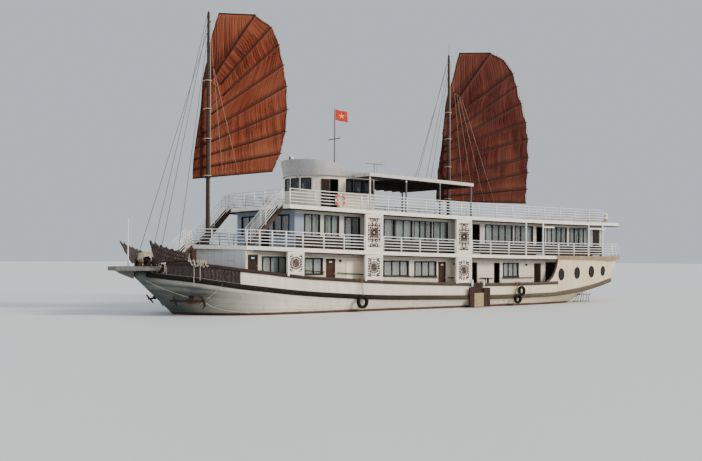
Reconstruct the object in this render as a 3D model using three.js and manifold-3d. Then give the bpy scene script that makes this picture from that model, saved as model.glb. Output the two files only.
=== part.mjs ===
// Chinese junk, a three-decked cruise ship with two battened sails, at full size.
// +X is the bow, +Y is port and +Z is up. The origin is amidships at the waterline.
// Sizes in this file are in metres, and the finished meshes are in millimetres.

import * as THREE from "three";
import { mergeVertices } from "three/addons/utils/BufferGeometryUtils.js";
import Module from "manifold-3d";

const wasm = await Module();
wasm.setup();

// Driving sizes
const MILLIMETRES = 1000;
const GAP = 0.0004;
const HULL_HALF = 3.86;
const DECK_HALF = 3.9;
const HOUSE_HALF = 3.2;
const WALL = 0.08;
const SLAB = 0.22;
const RAIL_HEIGHT = 0.9;
const RAIL_THICKNESS = 0.05;
const RAIL_BAY = 3.0;
const RAIL_ROWS = 2;
const STEM_X = 17.45;
const STERN_X = -18.5;
const TAFFRAIL_X = -19.35;
const BOW_TAPER_X = 8;
const STERN_TAPER_X = -14;
const STERN_TAPER = 0.1;
const FOREMAST_X = 13.0;
const MAINMAST_X = -5.5;
const FLAG_MAST_X = 4.12;
const SUN_FRONT_X = 10.0;
const MIDDLE_FRONT_X = 9.2;
const LOWER_FRONT_X = 12.4;
const STERN_HOUSE_X = -12.3;

// Colours
const CREAM = 0xd8d0bc;
const WHITE = 0xdfe1df;
const BLUE_WHITE = 0xc6d0d8;
const BROWN = 0x4a2f22;
const RED_BROWN = 0x6a3426;
const GREY_BROWN = 0x5d544b;
const TAN = 0xa98a62;
const ORANGE_CANVAS = 0xa35a2c;
const RED_CANVAS = 0x7d3a22;
const BLACK = 0x23221f;
const BRASS = 0xa8823c;
const DARK_STEEL = 0x4c4f50;

const group = new THREE.Group();

function node(name, geometry, color, roughness = 0.7, metalness = 0) {
  const plain = geometry.clone();
  plain.deleteAttribute("normal");
  plain.deleteAttribute("uv");
  const merged = mergeVertices(plain, 2e-5);
  merged.scale(MILLIMETRES, MILLIMETRES, MILLIMETRES);
  merged.computeVertexNormals();
  const material = new THREE.MeshStandardMaterial({ color, roughness, metalness });
  const mesh = new THREE.Mesh(merged, material);
  mesh.name = name;
  group.add(mesh);
}

// Solids

function toSolid(geometry) {
  const plain = geometry.clone();
  plain.deleteAttribute("normal");
  plain.deleteAttribute("uv");
  const merged = mergeVertices(plain, 2e-5);
  return new wasm.Manifold(new wasm.Mesh({
    numProp: 3,
    vertProperties: new Float32Array(merged.attributes.position.array),
    triVerts: new Uint32Array(merged.index.array),
  }));
}

function toGeometry(solid) {
  const mesh = solid.getMesh();
  const geometry = new THREE.BufferGeometry();
  geometry.setAttribute("position", new THREE.BufferAttribute(mesh.vertProperties, 3));
  geometry.setIndex(new THREE.BufferAttribute(mesh.triVerts, 1));
  return geometry;
}

function join(...geometries) {
  return toGeometry(geometries.map(toSolid).reduce((whole, piece) => whole.add(piece)));
}

function cut(geometry, ...tools) {
  return toGeometry(tools.map(toSolid).reduce((rest, tool) => rest.subtract(tool), toSolid(geometry)));
}

function common(first, second) {
  return toGeometry(toSolid(first).intersect(toSolid(second)));
}

function mirrored(geometry) {
  const copy = geometry.clone();
  copy.scale(1, -1, 1);
  const index = copy.index ? copy.index.array : [...Array(copy.attributes.position.count).keys()];
  const turned = [];
  for (let i = 0; i < index.length; i += 3) turned.push(index[i], index[i + 2], index[i + 1]);
  copy.setIndex(turned);
  return copy;
}

function pair(name, geometry, color, roughness, metalness) {
  node(`${name}_port`, geometry, color, roughness, metalness);
  node(`${name}_starboard`, mirrored(geometry), color, roughness, metalness);
}

function shapeOf(points) {
  return new THREE.Shape(points.map(([a, b]) => new THREE.Vector2(a, b)));
}

// Plate with an outline in two directions and a thickness in the third, with holes right through
function plate(points, thickness, holes = []) {
  const whole = new THREE.ExtrudeGeometry(shapeOf(points), { depth: thickness, bevelEnabled: false });
  if (holes.length === 0) return whole;
  const tools = holes.map((hole) => {
    const tool = new THREE.ExtrudeGeometry(shapeOf(hole), { depth: thickness + 0.2, bevelEnabled: false });
    return tool.translate(0, 0, -0.1);
  });
  return cut(whole, ...tools);
}

function prismXY(points, z0, z1, holes) {
  return plate(points, z1 - z0, holes).translate(0, 0, z0);
}

function prismXZ(points, y0, y1, holes) {
  return plate(points, y1 - y0, holes).rotateX(Math.PI / 2).translate(0, y1, 0);
}

function prismYZ(points, x0, x1, holes) {
  return plate(points, x1 - x0, holes).rotateX(Math.PI / 2).rotateZ(Math.PI / 2).translate(x0, 0, 0);
}

function box(x0, x1, y0, y1, z0, z1) {
  const geometry = new THREE.BoxGeometry(x1 - x0, y1 - y0, z1 - z0);
  return geometry.translate((x0 + x1) / 2, (y0 + y1) / 2, (z0 + z1) / 2);
}

function rect(a0, a1, b0, b1) {
  return [[a0, b0], [a1, b0], [a1, b1], [a0, b1]];
}

// Upright round post with a taper, centred on x and y
function post(x, y, z0, z1, r0, r1 = r0, sides = 10) {
  const geometry = new THREE.CylinderGeometry(r1, r0, z1 - z0, sides);
  return geometry.rotateX(Math.PI / 2).translate(x, y, (z0 + z1) / 2);
}

// Body through rings of as many points each, where points i and n - 1 - i face each other
function loft(rings) {
  const n = rings[0].length;
  const positions = rings.flat(2);
  const index = [];
  const quad = (a, b, c, d) => index.push(a, b, c, a, c, d);
  for (let r = 0; r + 1 < rings.length; r++) {
    for (let i = 0; i < n; i++) {
      const j = (i + 1) % n;
      quad(r * n + i, r * n + j, (r + 1) * n + j, (r + 1) * n + i);
    }
  }
  const last = (rings.length - 1) * n;
  for (let i = 0; i + 1 < n / 2; i++) {
    quad(n - 1 - i, n - 2 - i, i + 1, i);
    quad(last + i, last + i + 1, last + n - 2 - i, last + n - 1 - i);
  }
  const geometry = new THREE.BufferGeometry();
  geometry.setAttribute("position", new THREE.Float32BufferAttribute(positions, 3));
  let volume = 0;
  for (let i = 0; i < index.length; i += 3) {
    const [a, b, c] = [0, 1, 2].map((k) => new THREE.Vector3().fromArray(positions, 3 * index[i + k]));
    volume += a.dot(b.cross(c));
  }
  geometry.setIndex(volume > 0 ? index : index.reverse());
  return geometry;
}

// Lines along the ship

// Straight pieces through a table of places: column 0 is x and the other is named by its number
function line(table, column = 1) {
  const rows = [...table].sort((a, b) => a[0] - b[0]);
  const at = (x) => {
    let i = 1;
    while (i + 1 < rows.length && x > rows[i][0]) i++;
    const [low, high] = [rows[i - 1], rows[i]];
    return low[column] + (high[column] - low[column]) * (x - low[0]) / (high[0] - low[0]);
  };
  at.breaks = rows.map((row) => row[0]);
  return at;
}

function raised(base, height) {
  const at = (x) => base(x) + height;
  at.breaks = base.breaks;
  return at;
}

function placesOn(at, x0, x1) {
  return [x0, ...at.breaks.filter((x) => x > x0 + 0.01 && x < x1 - 0.01), x1];
}

// Outline in x and z between two lines along the ship
function band(x0, x1, low, high) {
  const bottom = placesOn(low, x0, x1).map((x) => [x, low(x)]);
  const top = placesOn(high, x0, x1).map((x) => [x, high(x)]);
  return [...bottom, ...top.reverse()];
}

// Stations, from the stern to the stem: x, height of the main deck, height of the bulwark's cap
const STATIONS = [
  [-18.5, 1.75, 1.75],
  [-17.2, 1.5, 1.6],
  [-16.16, 1.32, 1.6],
  [-14.3, 1.07, 1.6],
  [-12.4, 0.88, 1.6],
  [-9.5, 0.81, 1.56],
  [-6.49, 0.79, 1.555],
  [-3.4, 0.82, 1.61],
  [-0.35, 0.88, 1.69],
  [3.61, 0.98, 1.85],
  [6.5, 1.14, 2.01],
  [9.33, 1.35, 2.2],
  [11.3, 1.56, 2.42],
  [13.19, 1.78, 2.62],
  [14.5, 1.98, 2.8],
  [15.58, 2.15, 2.93],
  [16.4, 2.27, 2.93],
  [17.0, 2.36, 2.93],
  [17.45, 2.42, 2.93],
];
const mainDeck = line(STATIONS, 1);
const bulwarkCap = line(STATIONS, 2);

// The upper decks' undersides have one sheer, given by its height and slope at SHEER_X
const SHEER_X = 9.3;
const SHEER_PLACES = [-19.35, -16, -12.3, -9, -6, -3, 0, 3, 6, 9.2, 10.0, 12.4, 14.2];
function sheer(height, slope, curve) {
  return line(SHEER_PLACES.map((x) => {
    const aft = SHEER_X - x;
    return [x, height + slope * aft + curve * aft * aft];
  }));
}
const middleFoot = sheer(3.5, -0.0289, 0.00056);
const middleTop = raised(middleFoot, SLAB);
const sunFoot = sheer(5.9, -0.0274, 0.00056);
const sunTop = raised(sunFoot, SLAB);

// Half breadth of the hull's edge, and the way out from it
function edgeHalf(x) {
  if (x > BOW_TAPER_X) {
    return Math.max(0.1, HULL_HALF * (1 - ((x - BOW_TAPER_X) / (STEM_X - BOW_TAPER_X)) ** 5));
  }
  if (x < STERN_TAPER_X) {
    const share = (STERN_TAPER_X - x) / (STERN_TAPER_X - STERN_X);
    return HULL_HALF * (1 - STERN_TAPER * share * share);
  }
  return HULL_HALF;
}

function offEdge(x, out, z) {
  const slope = (edgeHalf(x + 0.01) - edgeHalf(x - 0.01)) / 0.02;
  const length = Math.hypot(slope, 1);
  return [x - (slope / length) * out, edgeHalf(x) + out / length, z];
}

// Hull, with its keel and skeg

// base and lift give a level's height: base + lift * height of the main deck. half is its half
// breadth, stem and stern are its ends, entry and full its bow, turn and run its stern.
const LEVELS = [
  { base: -1.6, lift: 0, half: 0.2, stem: 12.9, stern: -10.6, entry: 9, full: 2, turn: -6, run: 1 },
  { base: -1.45, lift: 0, half: 1.7, stem: 13.3, stern: -11.0, entry: 4, full: 2, turn: -1, run: 0.12 },
  { base: -0.9, lift: 0, half: 2.9, stem: 14.1, stern: -12.2, entry: 5, full: 2.5, turn: -3, run: 0.35 },
  { base: -0.35, lift: 0, half: 3.4, stem: 14.75, stern: -13.6, entry: 6, full: 3.5, turn: -6, run: 0.6 },
  { base: 0.05, lift: 0, half: 3.58, stem: 15.16, stern: -14.63, entry: 7, full: 5, turn: -8, run: 0.74 },
  { base: 0, lift: 0.5, half: 3.74, stem: 16.45, stern: -16.3, entry: 7.5, full: 5, turn: -11, run: 0.85 },
  { base: -0.3, lift: 1, half: HULL_HALF, stem: STEM_X, stern: STERN_X, entry: 8, full: 5, turn: -14, run: 0.9 },
  { base: 0, lift: 1, half: HULL_HALF, stem: STEM_X, stern: STERN_X, entry: 8, full: 5, turn: -14, run: 0.9 },
];
const SKEG_HALF = 0.14;
const KEEL_FOOT = -1.85;
const SHAFT_Z = -1.1;
const SHAFT_RADIUS = 0.05;
const SKEG_END_X = -13.3;
const STOCK_X = -15.0;
const STOCK_RADIUS = 0.07;

function levelHalf(level, x) {
  if (x > level.entry) {
    const share = (x - level.entry) / (level.stem - level.entry);
    return Math.max(0.1, level.half * (1 - share ** level.full));
  }
  if (x < level.turn) {
    const share = (level.turn - x) / (level.turn - level.stern);
    return level.half * (1 - (1 - level.run) * share * share);
  }
  return level.half;
}

const hullRings = STATIONS.map(([stationX, deckZ]) => {
  const share = (stationX - STERN_X) / (STEM_X - STERN_X);
  const port = LEVELS.map((level) => {
    const x = level.stern + (level.stem - level.stern) * share;
    return [x, levelHalf(level, x), level.base + level.lift * deckZ];
  });
  const starboard = port.map(([x, y, z]) => [x, -y, z]).reverse();
  return [...port, ...starboard];
});
const keel = box(-12, 12.7, -SKEG_HALF, SKEG_HALF, KEEL_FOOT, -1.5);
const skegOutline = [
  [-8, KEEL_FOOT],
  [-15.35, KEEL_FOOT],
  [-15.35, KEEL_FOOT + 0.13],
  [SKEG_END_X, KEEL_FOOT + 0.13],
  [SKEG_END_X, -0.3],
  [-9, -0.6],
];
const shaftBore = new THREE.CylinderGeometry(SHAFT_RADIUS + 0.006, SHAFT_RADIUS + 0.006, 0.9, 12)
  .rotateZ(Math.PI / 2).translate(SKEG_END_X + 0.3, 0, SHAFT_Z);
const stockBore = post(STOCK_X, 0, -0.4, 0.75, STOCK_RADIUS + 0.006, STOCK_RADIUS + 0.006, 12);
const skeg = prismXZ(skegOutline, -SKEG_HALF, SKEG_HALF);
const hull = cut(join(loft(hullRings), keel, skeg), shaftBore, stockBore);
node("hull", hull, CREAM);

// Rub rails along the main deck's edge
const rubRings = placesOn(mainDeck, STERN_X + 0.02, 17.0).map((x) => [
  offEdge(x, GAP, mainDeck(x) - 0.29),
  offEdge(x, GAP, mainDeck(x) - 0.01),
  offEdge(x, 0.09, mainDeck(x) - 0.03),
  offEdge(x, 0.09, mainDeck(x) - 0.27),
]);
pair("rub_rail", loft(rubRings), GREY_BROWN, 0.85);

// Bulwarks with their cap rails and the carved pilasters that stand in them
const PILASTERS = [
  // x0, x1, and whether it goes on up to the sun deck
  [9.0, 10.1, false],
  [3.34, 4.66, true],
  [-3.98, -2.65, true],
];
const BULWARK_END_X = -12.0;
const CAP = 0.12;
const bulwarkRings = placesOn(mainDeck, BULWARK_END_X, 16.4).map((x) => [
  offEdge(x, -0.04, mainDeck(x) + GAP),
  offEdge(x, -0.04, bulwarkCap(x) - CAP),
  offEdge(x, 0.03, bulwarkCap(x) - CAP),
  offEdge(x, 0.03, bulwarkCap(x)),
  offEdge(x, -0.23, bulwarkCap(x)),
  offEdge(x, -0.23, bulwarkCap(x) - CAP),
  offEdge(x, -0.16, bulwarkCap(x) - CAP),
  offEdge(x, -0.16, mainDeck(x) + GAP),
]);
const bulwarkPieces = PILASTERS.map(([x0, x1]) =>
  prismXZ(band(x0, x1, raised(bulwarkCap, -0.3), raised(middleFoot, -GAP)), 3.72, DECK_HALF - 0.005));
pair("bulwark", join(loft(bulwarkRings), ...bulwarkPieces), CREAM, 0.75);

// Bow platform over the stem, with its knee and jackstaff, and the carved wings beside it
const PLATFORM_Z = 2.44;
const platformPlan = [[16.5, -1.2], [17.3, -1.2], [18.75, -0.5], [18.75, 0.5], [17.3, 1.2], [16.5, 1.2]];
const kneeOutline = [[17.5, 2.0], [18.3, 2.3], [18.6, 2.5], [17.5, 2.5]];
const platformBearer = prismXZ(band(16.55, 17.2, raised(mainDeck, GAP), raised(mainDeck, 0.3)), -0.4, 0.4);
const bowPlatform = join(
  prismXY(platformPlan, PLATFORM_Z, PLATFORM_Z + 0.23),
  common(platformBearer, box(16, 18, -1, 1, 2, PLATFORM_Z + 0.01)),
  prismXZ(kneeOutline, -0.12, 0.12),
  post(17.8, 0, PLATFORM_Z + 0.1, 5.27, 0.04, 0.025, 8),
);
node("bow_platform", bowPlatform, GREY_BROWN, 0.8);

// Corners of the port wing: x, y and z at the foot, then x, y and z at the head
const WING = [
  [15.58, 2.42, 2.93, 15.5, 2.5, 3.42],
  [16.46, 1.74, 2.93, 16.5, 2.02, 3.7],
  [17.15, 1.25, 2.7, 17.45, 1.58, 4.05],
];
const wing = loft(WING.map(([x0, y0, z0, x1, y1, z1]) => [
  [x0, y0 - 0.05, z0 + GAP],
  [x1, y1 - 0.05, z1],
  [x1, y1 + 0.05, z1],
  [x0, y0 + 0.05, z0 + GAP],
]));
pair("bow_wing", wing, BROWN, 0.8);

// Stern house, closed and carried out over the counter
const sternHouse = loft([
  // share of the length from the house's front, half breadth
  [0, 3.84],
  [0.31, 3.83],
  [0.6, 3.78],
  [0.82, 3.66],
  [1, 3.46],
].map(([share, half]) => {
  const low = STERN_HOUSE_X + (STERN_X - STERN_HOUSE_X) * share;
  const high = STERN_HOUSE_X + (TAFFRAIL_X + 0.1 - STERN_HOUSE_X) * share;
  const foot = mainDeck(low) + 0.02;
  const head = middleFoot(high) - 0.01;
  return [[low, half, foot], [high, half, head], [high, -half, head], [low, -half, foot]];
}));
node("stern_house", sternHouse, CREAM, 0.8);

// Lower house: side walls with doors and windows, and the bowed front wall

// Doors of the lower house: x of the fore edge, x of the aft edge, head below the middle deck
const DOORS = [
  ["fore", 12.26, 11.6, 0.24],
  ["middle", 7.02, 6.34, 0.3],
  ["aft", -1.72, -2.38, 0.3],
];
const OPEN_DOORWAYS = [[-4.68, -5.17], [-6.7, -7.27], [-10.59, -11.3]];
const LOWER_WINDOWS = [[9.74, 11.3], [7.3, 8.49], [0.79, 2.7], [-1.5, 0.22], [-9.0, -7.6]];
const SILL = 0.1;
const DOOR_CLEARANCE = 0.012;
const LEAF = 0.04;

const doorHole = (fore, aft, drop) =>
  rect(aft, fore, mainDeck(fore) + SILL, middleFoot(aft) - drop);
const lowerHoles = [
  ...DOORS.map(([, fore, aft, drop]) => doorHole(fore, aft, drop)),
  ...OPEN_DOORWAYS.map(([fore, aft]) => rect(aft, fore, mainDeck(fore) + SILL, middleFoot(aft) - 0.3)),
  ...LOWER_WINDOWS.map(([x0, x1]) => rect(x0, x1, middleFoot(x0) - 1.2, middleFoot(x0) - 0.33)),
];
// Each door hangs on two barrels that turn under brackets on the wall's inner face
const HINGE_Y = HOUSE_HALF - WALL - 0.01;
const HINGE_RADIUS = 0.012;
const BARREL = 0.06;
const BRACKET = 0.03;
const hingeHeights = (fore, aft, drop) => [mainDeck(fore) + SILL + 0.3, middleFoot(aft) - drop - 0.3];
const hingeBrackets = DOORS.flatMap(([, fore, aft, drop]) => hingeHeights(fore, aft, drop).flatMap((z) => {
  const x = fore - DOOR_CLEARANCE;
  return [
    post(x, HINGE_Y, z + BARREL + GAP, z + BARREL + BRACKET, HINGE_RADIUS, HINGE_RADIUS, 8),
    box(x, x + 0.07, HINGE_Y - 0.008, HOUSE_HALF - WALL + 0.02, z + BARREL + GAP, z + BARREL + BRACKET),
  ];
}));
const lowerBand = band(STERN_HOUSE_X + 0.0006, LOWER_FRONT_X, raised(mainDeck, GAP), raised(middleFoot, -GAP));
const lowerWall = prismXZ(lowerBand, HOUSE_HALF - WALL, HOUSE_HALF, lowerHoles);
pair("lower_wall", join(lowerWall, ...hingeBrackets), CREAM, 0.7);

for (const [name, fore, aft, drop] of DOORS) {
  const leaf = box(
    aft + DOOR_CLEARANCE,
    fore - DOOR_CLEARANCE,
    HINGE_Y + 0.02,
    HINGE_Y + 0.02 + LEAF,
    mainDeck(fore) + SILL + DOOR_CLEARANCE,
    middleFoot(aft) - drop - DOOR_CLEARANCE,
  );
  const hinges = hingeHeights(fore, aft, drop).flatMap((z) => {
    const x = fore - DOOR_CLEARANCE;
    return [
      post(x, HINGE_Y, z, z + BARREL, HINGE_RADIUS, HINGE_RADIUS, 8),
      box(x - 0.06, x, HINGE_Y - 0.006, HINGE_Y + 0.025, z, z + BARREL),
    ];
  });
  pair(`door_${name}`, join(leaf, ...hinges), CREAM, 0.6);
}

const FRONT_TOP_X = 13.9;
const lowerFrontPlan = [
  [LOWER_FRONT_X + GAP, -3.2],
  [FRONT_TOP_X, -0.5],
  [FRONT_TOP_X, 0.5],
  [LOWER_FRONT_X + GAP, 3.2],
  [LOWER_FRONT_X + GAP, 3.05],
  [FRONT_TOP_X - WALL, 0.45],
  [FRONT_TOP_X - WALL, -0.45],
  [LOWER_FRONT_X + GAP, -3.05],
];
const lowerFrontBand = band(12.3, 14.1, raised(mainDeck, GAP), raised(middleFoot, -GAP));
const lowerFront = common(prismXY(lowerFrontPlan, 1, 4), prismXZ(lowerFrontBand, -4, 4));
node("lower_wall_front", lowerFront, BLUE_WHITE, 0.6);

// Middle and sun decks
const mastHole = (x, radius) => {
  const points = [];
  for (let i = 0; i < 12; i++) {
    const angle = (i * Math.PI) / 6;
    points.push([x + radius * Math.cos(angle), radius * Math.sin(angle)]);
  }
  return points;
};
const middlePlan = [
  [14.2, -0.5],
  [14.2, 0.5],
  [12.4, 3.3],
  [11.0, 3.72],
  [9.3, DECK_HALF],
  [-18.2, DECK_HALF],
  [TAFFRAIL_X, 3.65],
  [TAFFRAIL_X, -3.65],
  [-18.2, -DECK_HALF],
  [9.3, -DECK_HALF],
  [11.0, -3.72],
  [12.4, -3.3],
];
const middleBand = band(TAFFRAIL_X, 14.2, middleFoot, middleTop);
const middleHoles = [mastHole(FOREMAST_X, 0.15), mastHole(MAINMAST_X, 0.15)];
const middleDeck = common(prismXY(middlePlan, 2, 5, middleHoles), prismXZ(middleBand, -4, 4));
node("middle_deck", middleDeck, CREAM, 0.75);

const sunPlan = [
  [SUN_FRONT_X, -DECK_HALF],
  [SUN_FRONT_X, DECK_HALF],
  [-18.2, DECK_HALF],
  [-19.2, 3.65],
  [-19.2, -3.65],
  [-18.2, -DECK_HALF],
];
const sunBand = band(-19.2, SUN_FRONT_X, sunFoot, sunTop);
const sunDeck = common(prismXY(sunPlan, 5, 7, [mastHole(MAINMAST_X, 0.15)]), prismXZ(sunBand, -4, 4));
node("sun_deck", sunDeck, CREAM, 0.75);

// Middle house: walls with their windows and doorways
const MIDDLE_AFT_X = -17.9;
const MIDDLE_WINDOWS = [
  [7.5, 8.5], [6.15, 7.1], [1.95, 2.7], [0.5, 1.85], [-1.1, 0.3], [-2.47, -1.3],
  [-8.4, -5.9], [-10.4, -8.7], [-13.9, -11.9], [-16.3, -14.3],
];
const MIDDLE_DOORWAYS = [[4.61, 5.65], [-5.4, -4.7], [-11.7, -10.8], [-17.6, -16.8]];
const middleBandWall = band(MIDDLE_AFT_X, MIDDLE_FRONT_X, raised(middleTop, GAP), raised(sunFoot, -GAP));
const middleHolesWall = [
  ...MIDDLE_WINDOWS.map(([x0, x1]) => rect(x0, x1, middleTop(x1) + 0.75, sunFoot(x0) - 0.22)),
  ...MIDDLE_DOORWAYS.map(([x0, x1]) => rect(x0, x1, middleTop(x1) + SILL, sunFoot(x0) - 0.22)),
];
pair("middle_wall", prismXZ(middleBandWall, HOUSE_HALF - WALL, HOUSE_HALF, middleHolesWall), BLUE_WHITE, 0.6);

const crossHalf = HOUSE_HALF - WALL - GAP;
const middleFrontHoles = [[-2.6, -1.0], [1.0, 2.6]].map(([y0, y1]) => rect(y0, y1, 4.5, 5.6));
middleFrontHoles.push(rect(-0.45, 0.45, middleTop(MIDDLE_FRONT_X) + SILL, 5.6));
const middleFront = prismYZ(
  rect(-crossHalf, crossHalf, middleTop(MIDDLE_FRONT_X) + GAP, sunFoot(MIDDLE_FRONT_X - WALL) - 0.003),
  MIDDLE_FRONT_X - WALL,
  MIDDLE_FRONT_X,
  middleFrontHoles,
);
node("middle_wall_front", middleFront, BLUE_WHITE, 0.6);
const middleAft = prismYZ(
  rect(-crossHalf, crossHalf, middleTop(MIDDLE_AFT_X) + 0.003, sunFoot(MIDDLE_AFT_X) - 0.003),
  MIDDLE_AFT_X,
  MIDDLE_AFT_X + WALL,
  [rect(-0.45, 0.45, middleTop(MIDDLE_AFT_X) + SILL, sunFoot(MIDDLE_AFT_X) - 0.22)],
);
node("middle_wall_aft", middleAft, BLUE_WHITE, 0.6);

// Wheelhouse: bowed front wall, side walls, aft wall and the roof with its visor
const BRIDGE_X = 5.9;
const BRIDGE_HALF = 1.8;
const BRIDGE_BOW = 1.5;
const BRIDGE_AFT_X = 2.35;
const BRIDGE_TOP = 8.07;
const BRIDGE_SIDES = 12;

function bridgeArc(bow, half, turn = 1) {
  const points = [];
  for (let i = 0; i <= BRIDGE_SIDES; i++) {
    const angle = turn * (-Math.PI / 2 + (i * Math.PI) / BRIDGE_SIDES);
    points.push([BRIDGE_X + bow * Math.cos(angle), half * Math.sin(angle)]);
  }
  return points;
}
const bridgeWindows = [];
for (const angle of [-66, -40, -13, 13, 40, 66]) {
  const turn = THREE.MathUtils.degToRad(angle);
  const tool = new THREE.BoxGeometry(0.8, 0.62, 0.72);
  tool.rotateZ(Math.atan2(Math.sin(turn) * BRIDGE_BOW, Math.cos(turn) * BRIDGE_HALF));
  tool.translate(BRIDGE_X + BRIDGE_BOW * Math.cos(turn), BRIDGE_HALF * Math.sin(turn), 7.57);
  bridgeWindows.push(tool);
}
const bridgeFrontPlan = [
  ...bridgeArc(BRIDGE_BOW, BRIDGE_HALF),
  ...bridgeArc(BRIDGE_BOW - WALL, BRIDGE_HALF - WALL, -1),
];
const bridgeFoot = raised(sunTop, GAP);
const bridgeSolid = (plan, x0, x1) => common(
  prismXY(plan, 5.5, BRIDGE_TOP - GAP),
  prismXZ(band(x0, x1, bridgeFoot, raised(sunFoot, 3)), -4, 4),
);
node("wheelhouse_wall_front", cut(bridgeSolid(bridgeFrontPlan, 5, 8), ...bridgeWindows), CREAM, 0.6);
const BRIDGE_WINDOWS = [[4.06, 4.5], [3.3, 3.9], [2.55, 3.15]];
const bridgeHoles = [
  rect(5.1, 5.75, sunTop(5.75) + SILL, 7.9),
  ...BRIDGE_WINDOWS.map(([x0, x1]) => rect(x0, x1, 7.2, 7.92)),
];
const bridgeSide = prismXZ(
  [
    ...placesOn(bridgeFoot, BRIDGE_AFT_X, BRIDGE_X - GAP).map((x) => [x, bridgeFoot(x)]),
    [BRIDGE_X - GAP, BRIDGE_TOP - GAP],
    [BRIDGE_AFT_X, BRIDGE_TOP - GAP],
  ],
  BRIDGE_HALF - WALL,
  BRIDGE_HALF,
  bridgeHoles,
);
pair("wheelhouse_wall", bridgeSide, CREAM, 0.6);
const bridgeAft = prismYZ(
  rect(-BRIDGE_HALF + WALL + GAP, BRIDGE_HALF - WALL - GAP, sunTop(BRIDGE_AFT_X + WALL) + GAP, BRIDGE_TOP - GAP),
  BRIDGE_AFT_X,
  BRIDGE_AFT_X + WALL,
  [rect(-0.4, 0.4, sunTop(BRIDGE_AFT_X) + SILL, 7.9)],
);
node("wheelhouse_wall_aft", bridgeAft, CREAM, 0.6);
const roofPlan = [[2.2, -1.95], ...bridgeArc(1.75, 2.05), [2.2, 1.95]];
const roofProfile = [
  [2.2, BRIDGE_TOP],
  [7.65, BRIDGE_TOP],
  [7.65, 9.05],
  [6.4, 8.98],
  [5.4, 8.85],
  [4.6, 8.46],
  [4.4, 8.42],
  [2.2, 8.3],
];
node("wheelhouse_roof", common(prismXY(roofPlan, 8, 10), prismXZ(roofProfile, -4, 4)), CREAM, 0.6);

// Awning aft of the wheelhouse, on its posts
const AWNING_POSTS = [4.0, 1.18, -1.6, -4.3];
const awningTop = line([[-4.4, 8.01], [4.14, 8.24]]);
const awningPlan = [
  [-4.4, -3.6],
  [4.14, -3.6],
  [4.14, -2.1],
  [2.1, -2.1],
  [2.1, 2.1],
  [4.14, 2.1],
  [4.14, 3.6],
  [-4.4, 3.6],
];
const awningSlab = common(
  prismXY(awningPlan, 7, 9),
  prismXZ(band(-4.4, 4.14, raised(awningTop, -0.2), awningTop), -4, 4),
);
const awningPosts = AWNING_POSTS.flatMap((x) => [-3.45, 3.45].map((y) =>
  box(x - 0.04, x + 0.04, y - 0.04, y + 0.04, sunTop(x) + 0.0015, awningTop(x) - 0.1)));
node("awning", join(awningSlab, ...awningPosts), TAN, 0.8);

// Rails: straight panels with their bays open between the bars
const KERB = 0.06;
const BAR = 0.04;
const RAIL_INSET = 0.06;
const RAIL_LIFT = 0.0008;

// from and to are [x, y]; foot gives the deck's height along x
function railPanel(from, to, foot, height = RAIL_HEIGHT) {
  const length = Math.hypot(to[0] - from[0], to[1] - from[1]);
  const cosine = (to[0] - from[0]) / length;
  const footAt = (s) => foot(from[0] + cosine * s) + RAIL_LIFT;
  const breaks = Math.abs(cosine) > 0.01
    ? foot.breaks.map((x) => (x - from[0]) / cosine).filter((s) => s > 0.05 && s < length - 0.05)
    : [];
  breaks.sort((a, b) => a - b);
  const places = [0, ...breaks, length];
  const outline = [
    ...places.map((s) => [s, footAt(s)]),
    ...[...places].reverse().map((s) => [s, footAt(s) + height]),
  ];
  const bays = Math.max(1, Math.round(length / RAIL_BAY));
  const rise = (height - KERB) / RAIL_ROWS;
  const holes = [];
  for (let bay = 0; bay < bays; bay++) {
    const s0 = (bay * length) / bays + BAR / 2 + (bay === 0 ? BAR / 2 : 0);
    const s1 = ((bay + 1) * length) / bays - BAR / 2 - (bay === bays - 1 ? BAR / 2 : 0);
    for (let row = 0; row < RAIL_ROWS; row++) {
      const low = KERB + row * rise;
      const high = low + rise - BAR;
      holes.push([
        [s0, footAt(s0) + low],
        [s1, footAt(s1) + low],
        [s1, footAt(s1) + high],
        [s0, footAt(s0) + high],
      ]);
    }
  }
  const panel = prismXZ(outline, -RAIL_THICKNESS / 2, RAIL_THICKNESS / 2, holes);
  return panel.rotateZ(Math.atan2(to[1] - from[1], to[0] - from[0])).translate(from[0], from[1], 0);
}

function railAlong(path, foot) {
  const panels = [];
  for (let i = 0; i + 1 < path.length; i++) panels.push(railPanel(path[i], path[i + 1], foot));
  const posts = path.map(([x, y]) => post(x, y, foot(x) + 0.0015, foot(x) + RAIL_HEIGHT, 0.035, 0.035, 8));
  return join(...panels, ...posts);
}

const RAIL_Y = DECK_HALF - RAIL_INSET;
const upperPilasters = PILASTERS.filter(([, , tall]) => tall).map(([x0, x1]) =>
  prismXZ(band(x0, x1, raised(middleTop, GAP), raised(sunFoot, -GAP)), 3.76, DECK_HALF - 0.005));
const deckPosts = [-9.07, -10.76, -15.55, -17.1].map((x) =>
  box(x - 0.04, x + 0.04, 3.8, DECK_HALF - 0.01, middleTop(x) + 0.0015, sunFoot(x) - 0.0015));
const middleRail = join(
  railAlong([[14.1, 0.58], [12.35, 3.24], [10.98, 3.66], [9.28, RAIL_Y], [-18.15, RAIL_Y]], middleTop),
  ...upperPilasters,
  ...deckPosts,
);
pair("middle_rail", middleRail, WHITE, 0.5);
const middleRailAft = railAlong([[-18.25, 3.8], [-19.28, 3.6], [-19.28, -3.6], [-18.25, -3.8]], middleTop);
node("middle_rail_aft", middleRailAft, WHITE, 0.5);

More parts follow.
